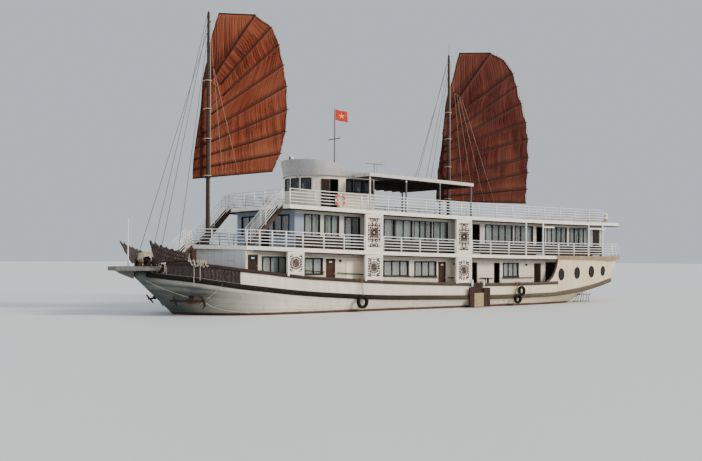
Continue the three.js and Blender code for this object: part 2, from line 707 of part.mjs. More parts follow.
const SUN_RAIL_AFT_X = -17.15;
const sunRail = railPanel([SUN_FRONT_X - RAIL_INSET, RAIL_Y], [SUN_RAIL_AFT_X, RAIL_Y], sunTop);
pair("sun_rail", sunRail, WHITE, 0.5);
const sunRailFront = railPanel([SUN_FRONT_X - RAIL_INSET, -3.05], [SUN_FRONT_X - RAIL_INSET, 3.05], sunTop);
node("sun_rail_front", sunRailFront, WHITE, 0.5);
const sunRailAft = railPanel([SUN_RAIL_AFT_X, -3.8], [SUN_RAIL_AFT_X, 3.8], sunTop);
node("sun_rail_aft", sunRailAft, WHITE, 0.5);

// Stairs: two stringers, treads and a handrail on posts at both sides

function stair(x0, z0, x1, z1, y0, y1, treads) {
  const slope = (z1 - z0) / (x1 - x0);
  const along = (x) => z0 + slope * (x - x0);
  const stringer = [[x0, along(x0) - 0.28], [x0, along(x0)], [x1, along(x1)], [x1 - 0.35, along(x1)]];
  stringer[0][1] = along(x0) - 0.3;
  const pieces = [];
  for (const y of [y0, y1 - 0.05]) {
    pieces.push(prismXZ(stringer, y, y + 0.05));
    pieces.push(prismXZ([
      [x0 + 0.05, along(x0 + 0.05) + 0.81],
      [x1 - 0.1, along(x1 - 0.1) + 0.81],
      [x1 - 0.1, along(x1 - 0.1) + 0.86],
      [x0 + 0.05, along(x0 + 0.05) + 0.86],
    ], y, y + 0.05));
    for (const x of [x0 + 0.05, (x0 + x1) / 2, x1 - 0.15]) {
      pieces.push(box(x, x + 0.05, y, y + 0.05, along(x) - 0.06, along(x) + 0.83));
    }
  }
  for (let i = 1; i <= treads; i++) {
    const x = x0 + ((x1 - x0) * i) / (treads + 1);
    pieces.push(box(x - 0.14, x + 0.1, y0 + 0.02, y1 - 0.02, along(x) - 0.09, along(x) - 0.05));
  }
  return join(...pieces);
}
node("fore_stair", stair(14.2 + GAP, middleTop(14.2), 16.0, mainDeck(16.0) + 0.0008, -0.5, 0.5, 6), WHITE, 0.6);
pair("sun_stair", stair(SUN_FRONT_X + GAP, sunTop(10), 12.2, middleTop(12.2) + 0.0008, 2.62, 3.2, 8), BROWN, 0.7);

const flagMast = join(
  post(FLAG_MAST_X, 0, 8.4078, 12.44, 0.05, 0.03, 8),
  box(FLAG_MAST_X - 0.03, FLAG_MAST_X + 0.03, -0.6, 0.6, 10.54, 10.6),
);
node("flag_mast", flagMast, WHITE, 0.5);

// Sails: cloth with a batten on each fold and parrels round the mast
const SAIL_Y = -0.3;
const CLOTH = 0.03;
const BATTEN = 0.07;
const FORE_SAIL = [
  [12.16, 17.22], [9.78, 17.52], [8.54, 16.93], [8.05, 16.0], [7.68, 14.84], [7.43, 13.55],
  [7.43, 12.15], [7.6, 10.75], [7.93, 9.48], [8.46, 8.31], [10.87, 7.94], [12.83, 7.7], [13.82, 7.59],
  [13.78, 8.75], [13.42, 10.61], [13.24, 11.92], [13.09, 13.32], [12.8, 14.66], [12.57, 15.74],
];
const MAIN_SAIL = [
  [-6.72, 17.35], [-9.74, 17.83], [-11.31, 17.49], [-12.44, 15.75], [-13.05, 14.56], [-13.48, 13.33],
  [-13.72, 11.92], [-13.79, 10.65], [-13.72, 9.54], [-13.59, 8.26], [-13.54, 7.21], [-9.74, 7.03],
  [-5.8, 7.08], [-4.58, 7.07], [-4.79, 8.65], [-5.16, 11.02], [-5.33, 12.29], [-5.75, 14.22],
];
// Battens fanned out from the luff: x and z at the luff end, x and z at the leech
const FORE_BATTENS = [
  [12.48, 13.49, 9.76, 17.46],
  [12.02, 13.15, 8.61, 16.93],
  [11.85, 12.54, 8.08, 15.94],
  [12.63, 11.37, 7.75, 14.77],
  [13.46, 9.99, 7.54, 13.5],
  [13.55, 9.36, 7.48, 12.11],
  [13.65, 8.71, 7.58, 10.77],
  [13.72, 8.14, 7.95, 9.42],
];
const MAIN_BATTENS = [
  [-6.2, 13.61, -9.77, 17.76],
  [-5.88, 12.65, -12.11, 16.55],
  [-5.47, 11.39, -12.49, 15.64],
  [-5.31, 10.77, -12.99, 14.48],
  [-5.14, 10.37, -13.47, 13.16],
  [-5.03, 9.64, -13.7, 11.95],
  [-4.9, 8.45, -13.72, 10.59],
  [-4.79, 7.8, -13.68, 9.48],
  [-4.72, 7.35, -13.6, 8.26],
];
// Heights of the parrels, the lowest of which rests on the mast's collar
const FORE_PARRELS = [7.8, 9.9, 11.6, 13.2];
const MAIN_PARRELS = [7.21, 9.4, 11.3, 13.1];
const PARREL = 0.05;

function sail(outline, battens, parrels, mastX, mastRadius) {
  const pieces = [prismXZ(outline, SAIL_Y - CLOTH / 2, SAIL_Y + CLOTH / 2)];
  for (const [x0, z0, x1, z1] of battens) {
    const bar = [[x0, z0 - 0.05], [x0, z0 + 0.05], [x1, z1 + 0.05], [x1, z1 - 0.05]];
    pieces.push(prismXZ(bar, SAIL_Y - BATTEN, SAIL_Y + BATTEN));
  }
  for (const z of parrels) {
    const inner = mastRadius + 0.03;
    const ring = new THREE.Shape();
    ring.moveTo(mastX - inner - 0.04, SAIL_Y);
    ring.lineTo(mastX + inner + 0.04, SAIL_Y);
    ring.lineTo(mastX + inner + 0.04, 0.1);
    ring.lineTo(mastX + inner * 0.5, inner + 0.07);
    ring.lineTo(mastX - inner * 0.5, inner + 0.07);
    ring.lineTo(mastX - inner - 0.04, 0.1);
    ring.holes.push(new THREE.Path([
      new THREE.Vector2(mastX - inner, SAIL_Y + 0.1),
      new THREE.Vector2(mastX + inner, SAIL_Y + 0.1),
      new THREE.Vector2(mastX + inner, 0.08),
      new THREE.Vector2(mastX + inner * 0.45, inner + 0.03),
      new THREE.Vector2(mastX - inner * 0.45, inner + 0.03),
      new THREE.Vector2(mastX - inner, 0.08),
    ]));
    const parrel = new THREE.ExtrudeGeometry(ring, { depth: PARREL, bevelEnabled: false });
    pieces.push(parrel.translate(0, 0, z - PARREL / 2));
  }
  return join(...pieces);
}
const foreSail = sail(FORE_SAIL, FORE_BATTENS, FORE_PARRELS, FOREMAST_X, 0.12);
node("fore_sail", foreSail, ORANGE_CANVAS, 0.9);
const mainSail = sail(MAIN_SAIL, MAIN_BATTENS, MAIN_PARRELS, MAINMAST_X, 0.12);
node("main_sail", mainSail, RED_CANVAS, 0.9);

// Masts, stepped on the main deck, each with the collar that its sail's lowest parrel rests on
const MAST_FOOT = 0.13;
function mast(x, head, topRadius, parrels) {
  const collarTop = parrels[0] - PARREL / 2 - GAP;
  return join(
    post(x, 0, mainDeck(x + MAST_FOOT) + GAP, head, MAST_FOOT, topRadius, 12),
    post(x, 0, collarTop - 0.12, collarTop, 0.12, 0.19, 12),
  );
}
node("foremast", mast(FOREMAST_X, 17.11, 0.07, FORE_PARRELS), TAN, 0.7);
node("mainmast", mast(MAINMAST_X, 17.62, 0.06, MAIN_PARRELS), TAN, 0.7);

// Rudder in its stock bore, and the screw on its shaft
const bladeOutline = [[-14.7, -1.68], [-16.2, -1.68], [-16.35, -0.1], [-14.75, -0.1]];
const rudder = join(
  prismXZ(bladeOutline, -0.05, 0.05),
  post(STOCK_X, 0, KEEL_FOOT + 0.13 + GAP, 0.55, STOCK_RADIUS, STOCK_RADIUS, 12),
);
node("rudder", rudder, RED_BROWN, 0.8);

const SCREW_X = -13.75;
const SCREW_RADIUS = 0.48;
const screwHub = new THREE.LatheGeometry([
  [0, -0.2],
  [0.07, -0.17],
  [0.1, 0],
  [0.09, SKEG_END_X - SCREW_X - GAP],
  [SHAFT_RADIUS, SKEG_END_X - SCREW_X - GAP],
  [SHAFT_RADIUS, 1.0],
  [0, 1.0],
].map(([r, s]) => new THREE.Vector2(r, s)), 12);
const screwPieces = [screwHub.rotateZ(-Math.PI / 2)];
const BLADE = [[-0.06, 0.04], [-0.14, 0.2], [-0.16, 0.36], [-0.06, 0.47], [0.08, 0.48], [0.15, 0.34], [0.13, 0.2], [0.06, 0.04]];
for (let i = 0; i < 4; i++) {
  const blade = new THREE.ExtrudeGeometry(shapeOf(BLADE), { depth: 0.03, bevelEnabled: false });
  blade.translate(0, 0, -0.015);
  blade.rotateY(THREE.MathUtils.degToRad(-55));
  blade.rotateX(Math.PI / 4 + (i * Math.PI) / 2);
  screwPieces.push(blade);
}
node("propeller", join(...screwPieces).translate(SCREW_X, 0, SHAFT_Z), BRASS, 0.4, 0.8);

// Tyre fenders hung along the topsides: x and z of each
const RUB_FACE = HULL_HALF + 0.0905;
function tyre(x, z, radius) {
  const section = [[radius, 0], [radius, 0.14], [radius - 0.08, 0.2], [radius * 0.55, 0.16], [radius * 0.55, 0.04]];
  const ring = new THREE.LatheGeometry(
    [...section, section[0]].map(([r, s]) => new THREE.Vector2(r, s)),
    20,
  );
  return ring.translate(x, RUB_FACE, z);
}
pair("tyre_fore", tyre(4.97, 0.6, 0.4), BLACK, 0.9);
// The aft pair press on each other
pair("tyre_aft", join(tyre(-8.1, 0.49, 0.32), tyre(-8.46, 1.0, 0.32)), BLACK, 0.9);

// Boarding places: two upright fender timbers with a plank between them
const BOARDING_X = [-5.38, -3.76];
const boardingFrame = join(
  ...BOARDING_X.map((x) => box(x - 0.09, x + 0.09, RUB_FACE, RUB_FACE + 0.14, 0.05, 1.27)),
  box(...BOARDING_X, RUB_FACE, RUB_FACE + 0.07, 0.66, 0.92),
);
pair("boarding_frame", boardingFrame, BROWN, 0.85);

// Lifebuoys hung outside the sun deck's side rails, level with the wheelhouse
const BUOY_X = 6.53;
const BUOY_TUBE = 0.06;
const BUOY_RADIUS = 0.375;
const buoyRing = new THREE.TorusGeometry(BUOY_RADIUS - BUOY_TUBE, BUOY_TUBE, 12, 24).rotateX(Math.PI / 2);
const buoyY = RAIL_Y + RAIL_THICKNESS / 2 + BUOY_TUBE + GAP;
pair("lifebuoy", buoyRing.translate(BUOY_X, buoyY, 6.47), ORANGE_CANVAS, 0.6);

// Anchors lashed along the flare of the bow: shank, stock and two arms
const ANCHOR_X = 15.25;
const ANCHOR_Y = 1.95;
const ANCHOR_Z = 0.95;
const ANCHOR_OFF = 0.2;
const FLARE = THREE.MathUtils.degToRad(42);
const anchor = join(
  box(-1.0, 0.95, -0.04, 0.04, -0.04, 0.04),
  box(0.62, 0.7, -0.3, 0.3, -0.035, 0.035),
  box(-0.3, -0.1, -0.1, 0.1, 0, 0.5),
  prismXY([
    [-0.72, -0.62],
    [-1.0, -0.35],
    [-1.06, 0],
    [-1.0, 0.35],
    [-0.72, 0.62],
    [-0.9, 0.3],
    [-0.94, 0],
    [-0.9, -0.3],
  ], -0.05, 0.05),
);
const bowAlong = new THREE.Vector3(0.654, -0.757, 0);
const bowOut = new THREE.Vector3(0.757, 0.654, 0);
const bowUp = bowOut.clone().multiplyScalar(Math.sin(FLARE)).setZ(Math.cos(FLARE));
const bowNormal = bowOut.clone().multiplyScalar(Math.cos(FLARE)).setZ(-Math.sin(FLARE));
anchor.applyMatrix4(new THREE.Matrix4().makeBasis(bowAlong, bowUp, bowNormal.clone().negate()));
anchor.translate(ANCHOR_X, ANCHOR_Y, ANCHOR_Z);
const off = (geometry, distance) =>
  geometry.clone().translate(bowNormal.x * distance, bowNormal.y * distance, bowNormal.z * distance);
const seatedAnchor = cut(off(anchor, ANCHOR_OFF), off(hull, 0.0006), off(mirrored(hull), 0.0006));
pair("anchor", seatedAnchor, DARK_STEEL, 0.7, 0.4);

export default group;
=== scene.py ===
"""Chinese junk: a three-decked wooden cruise ship with two battened sails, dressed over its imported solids."""

import math

import bmesh
import bpy
import numpy as np
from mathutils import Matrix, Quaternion, Vector


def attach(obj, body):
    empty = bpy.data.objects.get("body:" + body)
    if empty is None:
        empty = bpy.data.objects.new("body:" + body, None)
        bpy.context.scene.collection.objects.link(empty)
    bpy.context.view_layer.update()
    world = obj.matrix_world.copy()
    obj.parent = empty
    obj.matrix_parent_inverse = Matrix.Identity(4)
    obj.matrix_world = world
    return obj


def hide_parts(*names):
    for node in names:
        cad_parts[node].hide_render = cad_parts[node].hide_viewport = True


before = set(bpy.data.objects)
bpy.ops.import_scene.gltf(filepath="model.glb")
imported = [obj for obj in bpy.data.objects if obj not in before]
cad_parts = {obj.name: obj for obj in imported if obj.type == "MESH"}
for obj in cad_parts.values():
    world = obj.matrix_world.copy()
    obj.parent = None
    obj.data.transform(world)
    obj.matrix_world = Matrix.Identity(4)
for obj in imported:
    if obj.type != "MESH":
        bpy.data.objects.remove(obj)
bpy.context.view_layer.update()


# The camera stands off the port bow, low over the water, as the picture was taken.
# Its small shift keeps the masts upright while the horizon sits below the middle.
camera_data = bpy.data.cameras.new("camera")
camera_data.sensor_width = 36.0
camera_data.lens = 49.3
camera_data.shift_y = 0.0363
camera_data.clip_end = 600.0
camera = bpy.data.objects.new("camera", camera_data)
bpy.context.scene.collection.objects.link(camera)
camera.location = (39.34, 48.5, 3.28)
camera.rotation_mode = "QUATERNION"
level_look = Vector((-0.6018, -0.7986, 0.0)).to_track_quat("-Z", "Y")
camera.rotation_quaternion = level_look @ Quaternion((0.0, 0.0, 1.0), 0.0047)
bpy.context.scene.camera = camera


# The studio: a plain pale floor at the waterline under a pale soft sky, with one
# broad low sun on the port side and a weaker one over the bow.
def shade(tree, kind, inputs=None, **settings):
    node = tree.nodes.new(kind)
    for name, value in settings.items():
        setattr(node, name, value)
    for name, value in (inputs or {}).items():
        socket = node.inputs[name]
        if isinstance(value, bpy.types.NodeSocket):
            tree.links.new(value, socket)
        else:
            socket.default_value = value
    return node


def finish_material(name, build):
    material = bpy.data.materials.new(name)
    material.use_nodes = True
    tree = material.node_tree
    tree.nodes.clear()
    skin = build(tree)
    out = tree.nodes.new("ShaderNodeOutputMaterial")
    tree.links.new(skin.outputs[0], out.inputs["Surface"])
    return material


def floor_finish(tree):
    return shade(tree, "ShaderNodeBsdfPrincipled", {
        "Base Color": (0.72, 0.74, 0.75, 1.0),
        "Roughness": 0.55,
        "Specular IOR Level": 0.2,
    })


floor_mesh = bpy.data.meshes.new("floor")
FLOOR_REACH = 400
floor_corners = [(FLOOR_REACH * x, FLOOR_REACH * y, 0) for x, y in ((-1, -1), (1, -1), (1, 1), (-1, 1))]
floor_mesh.from_pydata(floor_corners, [], [(0, 1, 2, 3)])
floor = bpy.data.objects.new("floor", floor_mesh)
floor_mesh.materials.append(finish_material("floor", floor_finish))
bpy.context.scene.collection.objects.link(floor)

sky = bpy.data.worlds.new("sky")
sky.use_nodes = True
sky.node_tree.nodes["Background"].inputs["Color"].default_value = (0.80, 0.87, 0.95, 1.0)
sky.node_tree.nodes["Background"].inputs["Strength"].default_value = 0.72
bpy.context.scene.world = sky

for lamp_name, toward, strength, width, colour in (
    ("sun_port", (0.55, -0.78, -0.52), 3.6, 0.3, (1.0, 0.91, 0.78)),
    ("sun_bow", (-0.85, -0.1, -0.5), 0.5, 0.9, (0.85, 0.92, 1.0)),
):
    lamp_data = bpy.data.lights.new(lamp_name, "SUN")
    lamp_data.energy = strength
    lamp_data.angle = width
    lamp_data.color = colour
    lamp = bpy.data.objects.new(lamp_name, lamp_data)
    lamp.rotation_mode = "QUATERNION"
    lamp.rotation_quaternion = Vector(toward).to_track_quat("-Z", "Y")
    bpy.context.scene.collection.objects.link(lamp)


# The hull is planked in timber and painted cream, with painted shade in dark green-grey towards
# the bow under its flare, and a thin dark band and red anti-fouling below the waterline.
STATIONS = [
    # x, height of the main deck, height of the bulwark's cap
    (-18.5, 1.75, 1.75),
    (-17.2, 1.5, 1.6),
    (-16.16, 1.32, 1.6),
    (-14.3, 1.07, 1.6),
    (-12.4, 0.88, 1.6),
    (-9.5, 0.81, 1.56),
    (-6.49, 0.79, 1.555),
    (-3.4, 0.82, 1.61),
    (-0.35, 0.88, 1.69),
    (3.61, 0.98, 1.85),
    (6.5, 1.14, 2.01),
    (9.33, 1.35, 2.2),
    (11.3, 1.56, 2.42),
    (13.19, 1.78, 2.62),
    (14.5, 1.98, 2.8),
    (15.58, 2.15, 2.93),
    (16.4, 2.27, 2.93),
    (17.0, 2.36, 2.93),
    (17.45, 2.42, 2.93),
]
LEVELS = [
    # height: base + lift * deck; half breadth; stem and stern; entry and fullness; turn and run
    (-1.6, 0.0, 0.2, 12.9, -10.6, 9.0, 2.0, -6.0, 1.0),
    (-1.45, 0.0, 1.7, 13.3, -11.0, 4.0, 2.0, -1.0, 0.12),
    (-0.9, 0.0, 2.9, 14.1, -12.2, 5.0, 2.5, -3.0, 0.35),
    (-0.35, 0.0, 3.4, 14.75, -13.6, 6.0, 3.5, -6.0, 0.6),
    (0.05, 0.0, 3.58, 15.16, -14.63, 7.0, 5.0, -8.0, 0.74),
    (0.0, 0.5, 3.74, 16.45, -16.3, 7.5, 5.0, -11.0, 0.85),
    (-0.3, 1.0, 3.86, 17.45, -18.5, 8.0, 5.0, -14.0, 0.9),
    (0.0, 1.0, 3.86, 17.45, -18.5, 8.0, 5.0, -14.0, 0.9),
]
STEM_X = 17.45
STERN_X = -18.5


def fair_line(table, column):
    """Smooth line through a table's column along the ship, with its own slope at each place."""
    xs = np.array([row[0] for row in table])
    ys = np.array([row[column] for row in table])
    slopes = np.gradient(ys, xs)

    def at(x):
        x = np.asarray(x, float)
        i = np.clip(np.searchsorted(xs, x) - 1, 0, len(xs) - 2)
        step = xs[i + 1] - xs[i]
        t = (x - xs[i]) / step
        near = ys[i] * (1 + 2 * t) * (1 - t) ** 2 + slopes[i] * step * t * (1 - t) ** 2
        far = ys[i + 1] * t * t * (3 - 2 * t) + slopes[i + 1] * step * t * t * (t - 1)
        return near + far

    return at


main_deck = fair_line(STATIONS, 1)
bulwark_cap = fair_line(STATIONS, 2)


def level_half(level, x):
    half, stem, stern, entry, full, turn, run = level[2:]
    if x > entry:
        return max(0.06, half * (1 - ((x - entry) / (stem - entry)) ** full))
    if x < turn:
        return half * (1 - (1 - run) * ((turn - x) / (turn - stern)) ** 2)
    return half


def through_points(points, steps):
    """Round curve through points in a row, with the same number of steps between each two."""
    points = np.asarray(points, float)
    padded = np.vstack([2 * points[0] - points[1], points, 2 * points[-1] - points[-2]])
    rows = []
    for i in range(len(points) - 1):
        a, b, c, d = padded[i:i + 4]
        for t in np.arange(steps) / steps:
            rows.append(0.5 * (2 * b + (c - a) * t + (2 * a - 5 * b + 4 * c - d) * t * t
                               + (3 * b - a - 3 * c + d) * t ** 3))
    rows.append(points[-1])
    return np.array(rows)


def make_piece(name, vertices, faces, material, body="ship", uv=None, smooth=True, slot=None, round_off=0.0):
    mesh = bpy.data.meshes.new(name)
    mesh.from_pydata([tuple(map(float, v)) for v in vertices], [], [tuple(map(int, f)) for f in faces])
    work = bmesh.new()
    work.from_mesh(mesh)
    bmesh.ops.recalc_face_normals(work, faces=work.faces)
    work.to_mesh(mesh)
    work.free()
    if uv is not None:
        layer = mesh.uv_layers.new(name="along")
        corner = np.empty(len(mesh.loops), dtype=np.int32)
        mesh.loops.foreach_get("vertex_index", corner)
        layer.data.foreach_set("uv", np.asarray(uv, np.float32)[corner].ravel())
    mesh.polygons.foreach_set("use_smooth", [smooth] * len(mesh.polygons))
    mesh.materials.append(material)
    mesh.validate()
    made = bpy.data.objects.new(name, mesh)
    bpy.context.scene.collection.objects.link(made)
    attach(made, body)
    if round_off:
        bevel = made.modifiers.new("round_off", "BEVEL")
        bevel.width = round_off
        bevel.segments = 2
        bevel.limit_method = "ANGLE"
    return made


def grid_faces(rows, columns, first=0, wrap=False, flip=False):
    faces = []
    for r in range(rows - 1):
        for c in range(columns if wrap else columns - 1):
            d = (c + 1) % columns
            quad = (first + r * columns + c, first + r * columns + d,
                    first + (r + 1) * columns + d, first + (r + 1) * columns + c)
            faces.append(quad[::-1] if flip else quad)
    return faces


def shader_group(name, inputs, outputs):
    """A node group of number sockets: its inputs with their values, and its outputs by name."""
    group = bpy.data.node_groups.new(name, "ShaderNodeTree")
    for label, value in inputs.items():
        group.interface.new_socket(name=label, in_out="INPUT", socket_type="NodeSocketFloat").default_value = value
    for label in outputs:
        group.interface.new_socket(name=label, in_out="OUTPUT", socket_type="NodeSocketFloat")
    return group, group.nodes.new("NodeGroupInput").outputs, group.nodes.new("NodeGroupOutput").inputs


def close_group(group, ends, *values):
    for value, end in zip(values, ends):
        group.links.new(value, end)
    return group


def sums(tree, operation, first, second=0.0):
    return shade(tree, "ShaderNodeMath", {0: first, 1: second}, operation=operation).outputs[0]


def plus(tree, first, second):
    return sums(tree, "ADD", first, second)


def times(tree, first, second):
    return sums(tree, "MULTIPLY", first, second)


def band_mask(tree, value, low, high):
    return shade(tree, "ShaderNodeMapRange", {"Value": value, "From Min": low, "From Max": high}).outputs[0]


def object_place(tree):
    return shade(tree, "ShaderNodeTexCoord").outputs["Object"]


def along_map(tree):
    return shade(tree, "ShaderNodeUVMap", uv_map="along").outputs[0]


def split(tree, vector):
    return shade(tree, "ShaderNodeSeparateXYZ", {0: vector}).outputs


def noise(tree, vector, scale, detail, rough=0.5):
    return shade(tree, "ShaderNodeTexNoise", {
        "Vector": vector, "Scale": scale, "Detail": detail, "Roughness": rough,
    }).outputs[0]


def weather_group():
    """Grime in streaks drawn out upright, a broad mottle and a fine grain, in object space."""
    group, ins, outs = shader_group(
        "weather", {"Streak Scale": 6.0, "Mottle Scale": 0.8}, ("Streaks", "Mottle", "Fine"))
    place = object_place(group)
    drawn = shade(group, "ShaderNodeMapping", {"Vector": place, "Scale": (1.0, 1.0, 0.12)}).outputs[0]
    streaks = noise(group, drawn, ins["Streak Scale"], 6.0, 0.65)
    broad = noise(group, place, ins["Mottle Scale"], 5.0, 0.6)
    return close_group(group, outs, band_mask(group, streaks, 0.48, 0.72), band_mask(group, broad, 0.3, 0.7),
                       noise(group, place, 45.0, 4.0))


def plank_group():
    """Planks laid across one value and along another: their seams, butts and tones."""
    group, ins, outs = shader_group(
        "planking", {"Across": 0.0, "Along": 0.0, "Seam": 0.05, "Length": 4.0}, ("Seam", "Tone", "Height"))
    row = sums(group, "FLOOR", ins["Across"])
    middle = sums(group, "SUBTRACT", sums(group, "FRACT", ins["Across"]), 0.5)
    edge = sums(group, "SUBTRACT", 0.5, sums(group, "ABSOLUTE", middle))
    seam = shade(group, "ShaderNodeMapRange", {
        "Value": edge, "From Min": 0.0, "From Max": ins["Seam"], "To Min": 1.0, "To Max": 0.0,
    }).outputs[0]
    moved = plus(group, sums(group, "DIVIDE", ins["Along"], ins["Length"]), times(group, row, 0.37))
    butt = sums(group, "LESS_THAN", sums(group, "FRACT", moved), 0.004)
    key = shade(group, "ShaderNodeCombineXYZ", {"X": row, "Y": sums(group, "FLOOR", moved)}).outputs[0]
    tone = shade(group, "ShaderNodeTexWhiteNoise", {"Vector": key}, noise_dimensions="2D").outputs["Value"]
    both = sums(group, "MAXIMUM", seam, butt)
    return close_group(group, outs, both, tone, sums(group, "SUBTRACT", 1.0, both))


WEATHER = weather_group()
PLANKING = plank_group()


def grouped(tree, group, inputs):
    return shade(tree, "ShaderNodeGroup", inputs, node_tree=group).outputs


def weathered(tree, streak_scale, mottle_scale):
    return grouped(tree, WEATHER, {"Streak Scale": streak_scale, "Mottle Scale": mottle_scale})


def planked(tree, across, along, seam, length):
    return grouped(tree, PLANKING, {"Across": across, "Along": along, "Seam": seam, "Length": length})


def toned(colour, share):
    return tuple(c * share for c in colour)


def blend(tree, factor, first, second, mode="MIX"):
    first, second = [(*end, 1) if isinstance(end, tuple) else end for end in (first, second)]
    inputs = {0: factor, 6: first, 7: second}
    return shade(tree, "ShaderNodeMix", inputs, data_type="RGBA", blend_type=mode).outputs[2]


def surface(tree, colour, rough, height, strength, distance, gloss=0.5, metal=0.0):
    """A plain surface with fine relief: its height's map, how strong it is and how deep."""
    bump = shade(tree, "ShaderNodeBump", {"Height": height, "Strength": strength, "Distance": distance})
    return shade(tree, "ShaderNodeBsdfPrincipled", {
        "Base Color": colour, "Roughness": rough, "Metallic": metal, "Normal": bump.outputs[0],
        "Specular IOR Level": gloss,
    })


def hull_finish(tree):
    uv = split(tree, along_map(tree))
    place = split(tree, object_place(tree))
    weather = weathered(tree, 3.2, 0.5)
    planks = planked(tree, uv["Y"], uv["X"], 0.05, 5.5)
    cream = blend(tree, planks["Tone"], (0.70, 0.64, 0.53), (0.80, 0.74, 0.63))
    # painted shade: the bow is darkened to green-grey where its flare lies in shade, less so on the upper planks
    forward = band_mask(tree, place["X"], 10.0, 15.2)
    upper = times(tree, band_mask(tree, uv["Y"], 20.3, 21.2), band_mask(tree, place["X"], 17.0, 14.0))
    forward = times(tree, forward, sums(tree, "SUBTRACT", 1.0, times(tree, upper, 0.75)))
    patchy = plus(tree, times(tree, weather["Mottle"], 0.25), times(tree, planks["Tone"], 0.2))
    bow_shade = times(tree, forward, plus(tree, patchy, 0.75))
    cream = blend(tree, bow_shade, cream, (0.075, 0.09, 0.082))
    cream = blend(tree, band_mask(tree, place["X"], -2.0, -13.0), cream, (1.0, 0.90, 0.74), "MULTIPLY")
    bare = sums(tree, "SUBTRACT", 1.0, forward)
    grime = times(tree, times(tree, weather["Streaks"], 0.5), bare)
    cream = blend(tree, grime, cream, (0.42, 0.37, 0.28))
    low = shade(tree, "ShaderNodeMapRange", {
        "Value": place["Z"], "From Min": 0.12, "From Max": 0.75, "To Min": 0.75, "To Max": 0.0,
    }).outputs[0]
    damp = times(tree, times(tree, low, weather["Mottle"]), bare)
    cream = blend(tree, damp, cream, (0.40, 0.36, 0.27))
    seams = times(tree, planks["Seam"], 0.8)
    cream = blend(tree, seams, cream, (0.17, 0.155, 0.13))
    ragged = times(tree, sums(tree, "SUBTRACT", weather["Mottle"], 0.5), 0.06)
    water_height = plus(tree, place["Z"], ragged)
    under = band_mask(tree, water_height, 0.17, 0.13)
    colour = blend(tree, under, cream, (0.10, 0.047, 0.033))
    deep = band_mask(tree, water_height, 0.02, -0.1)
    colour = blend(tree, deep, colour, (0.21, 0.055, 0.038))
    relief = plus(tree, planks["Height"], times(tree, weather["Fine"], 0.25))
    rough = plus(tree, 0.5, times(tree, weather["Mottle"], 0.25))
    return surface(tree, colour, rough, relief, 0.5, 0.012, 0.25)


HULL_PAINT = finish_material("hull_paint", hull_finish)


def deck_finish(tree):
    place = split(tree, object_place(tree))
    weather = weathered(tree, 4.0, 0.7)
    planks = planked(tree, sums(tree, "DIVIDE", place["Y"], 0.14), place["X"], 0.06, 3.6)
    wood = blend(tree, planks["Tone"], (0.24, 0.17, 0.11), (0.36, 0.26, 0.18))
    wood = blend(tree, times(tree, weather["Mottle"], 0.5), wood, (0.33, 0.30, 0.26))
    wood = blend(tree, times(tree, planks["Seam"], 0.8), wood, (0.05, 0.04, 0.035))
    return surface(tree, wood, 0.62, planks["Height"], 0.5, 0.004)


DECK_WOOD = finish_material("deck_wood", deck_finish)

hull_rows = []
PLANKS_PER_LEVEL = [0, 6, 4, 3, 2, 3, 4, 1]
for share in 1 - (1 - np.linspace(0, 1, 110)) ** 1.25:
    deck_z = float(main_deck(STERN_X + (STEM_X - STERN_X) * share))
    section = []
    for level in LEVELS:
        x = level[4] + (level[3] - level[4]) * share
        section.append((x, level_half(level, x), level[0] + level[1] * deck_z))
    curved = through_points(section[:7], 5)
    hull_rows.append(np.vstack([curved, section[7]]))
hull_rows = np.array(hull_rows)
girth = np.interp(np.arange(hull_rows.shape[1]), list(range(0, 31, 5)) + [31], np.cumsum(PLANKS_PER_LEVEL))
count, columns = hull_rows.shape[:2]
half_count = count * columns
hull_vertices, hull_uv, hull_faces = [], [], []
for side in (1, -1):
    hull_vertices += [(x, side * y, z) for x, y, z in hull_rows.reshape(-1, 3)]
    hull_uv += [(x, v) for row in hull_rows for (x, _, _), v in zip(row, girth)]
    hull_faces += grid_faces(count, columns, 0 if side == 1 else half_count, flip=side == 1)
for start, turned in ((0, False), ((count - 1) * columns, True)):
    for c in range(columns - 1):
        quad = (start + c, start + c + 1, start + c + 1 + half_count, start + c + half_count)
        hull_faces.append(quad[::-1] if turned else quad)
for row in range(count - 1):
    a, b = row * columns, (row + 1) * columns
    hull_faces.append((a, a + half_count, b + half_count, b))
deck_start = len(hull_faces)
for row in range(count - 1):
    a, b = (row + 1) * columns - 1, (row + 2) * columns - 1
    hull_faces.append((a, b, b + half_count, a + half_count))
hull_skin = make_piece("hull_skin", hull_vertices, hull_faces, HULL_PAINT, uv=hull_uv, slot="hull_paint")
hull_skin.data.materials.append(DECK_WOOD)
for polygon in hull_skin.data.polygons:
    if polygon.index >= deck_start:
        polygon.material_index = 1
        polygon.use_smooth = False
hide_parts("hull")


# The keel, with its skeg and the heel that carries the rudder, is one squared timber
# under the planking, tarred red like the bottom.
def add_caps(faces, first, last, n):
    """Closes both ends of a bar with n corners whose end rings start at first and last."""
    faces.append(tuple(range(first, first + n)))
    faces.append(tuple(range(last + n - 1, last - 1, -1)))


def add_prism(store, outline, low, high, plane="XZ"):
    """Adds an outline drawn in one plane and carried from low to high across it."""
    vertices, faces = store
    first, n = len(vertices), len(outline)
    for across in (low, high):
        for a, b in outline:
            vertices.append({"XZ": (a, across, b), "XY": (a, b, across), "YZ": (across, a, b)}[plane])
    add_caps(faces, first, first + n, n)
    for i in range(n):
        j = (i + 1) % n
        faces.append((first + i, first + n + i, first + n + j, first + j))


def add_box(store, x0, x1, y0, y1, z0, z1):
    add_prism(store, [(x0, y0), (x1, y0), (x1, y1), (x0, y1)], z0, z1, "XY")


def add_mirror(*halves):
    """Adds the starboard copy of everything in each store."""
    for vertices, faces in halves:
        first = len(vertices)
        vertices += [(x, -y, z) for x, y, z in vertices]
        faces += [tuple(first + v for v in reversed(face)) for face in faces]


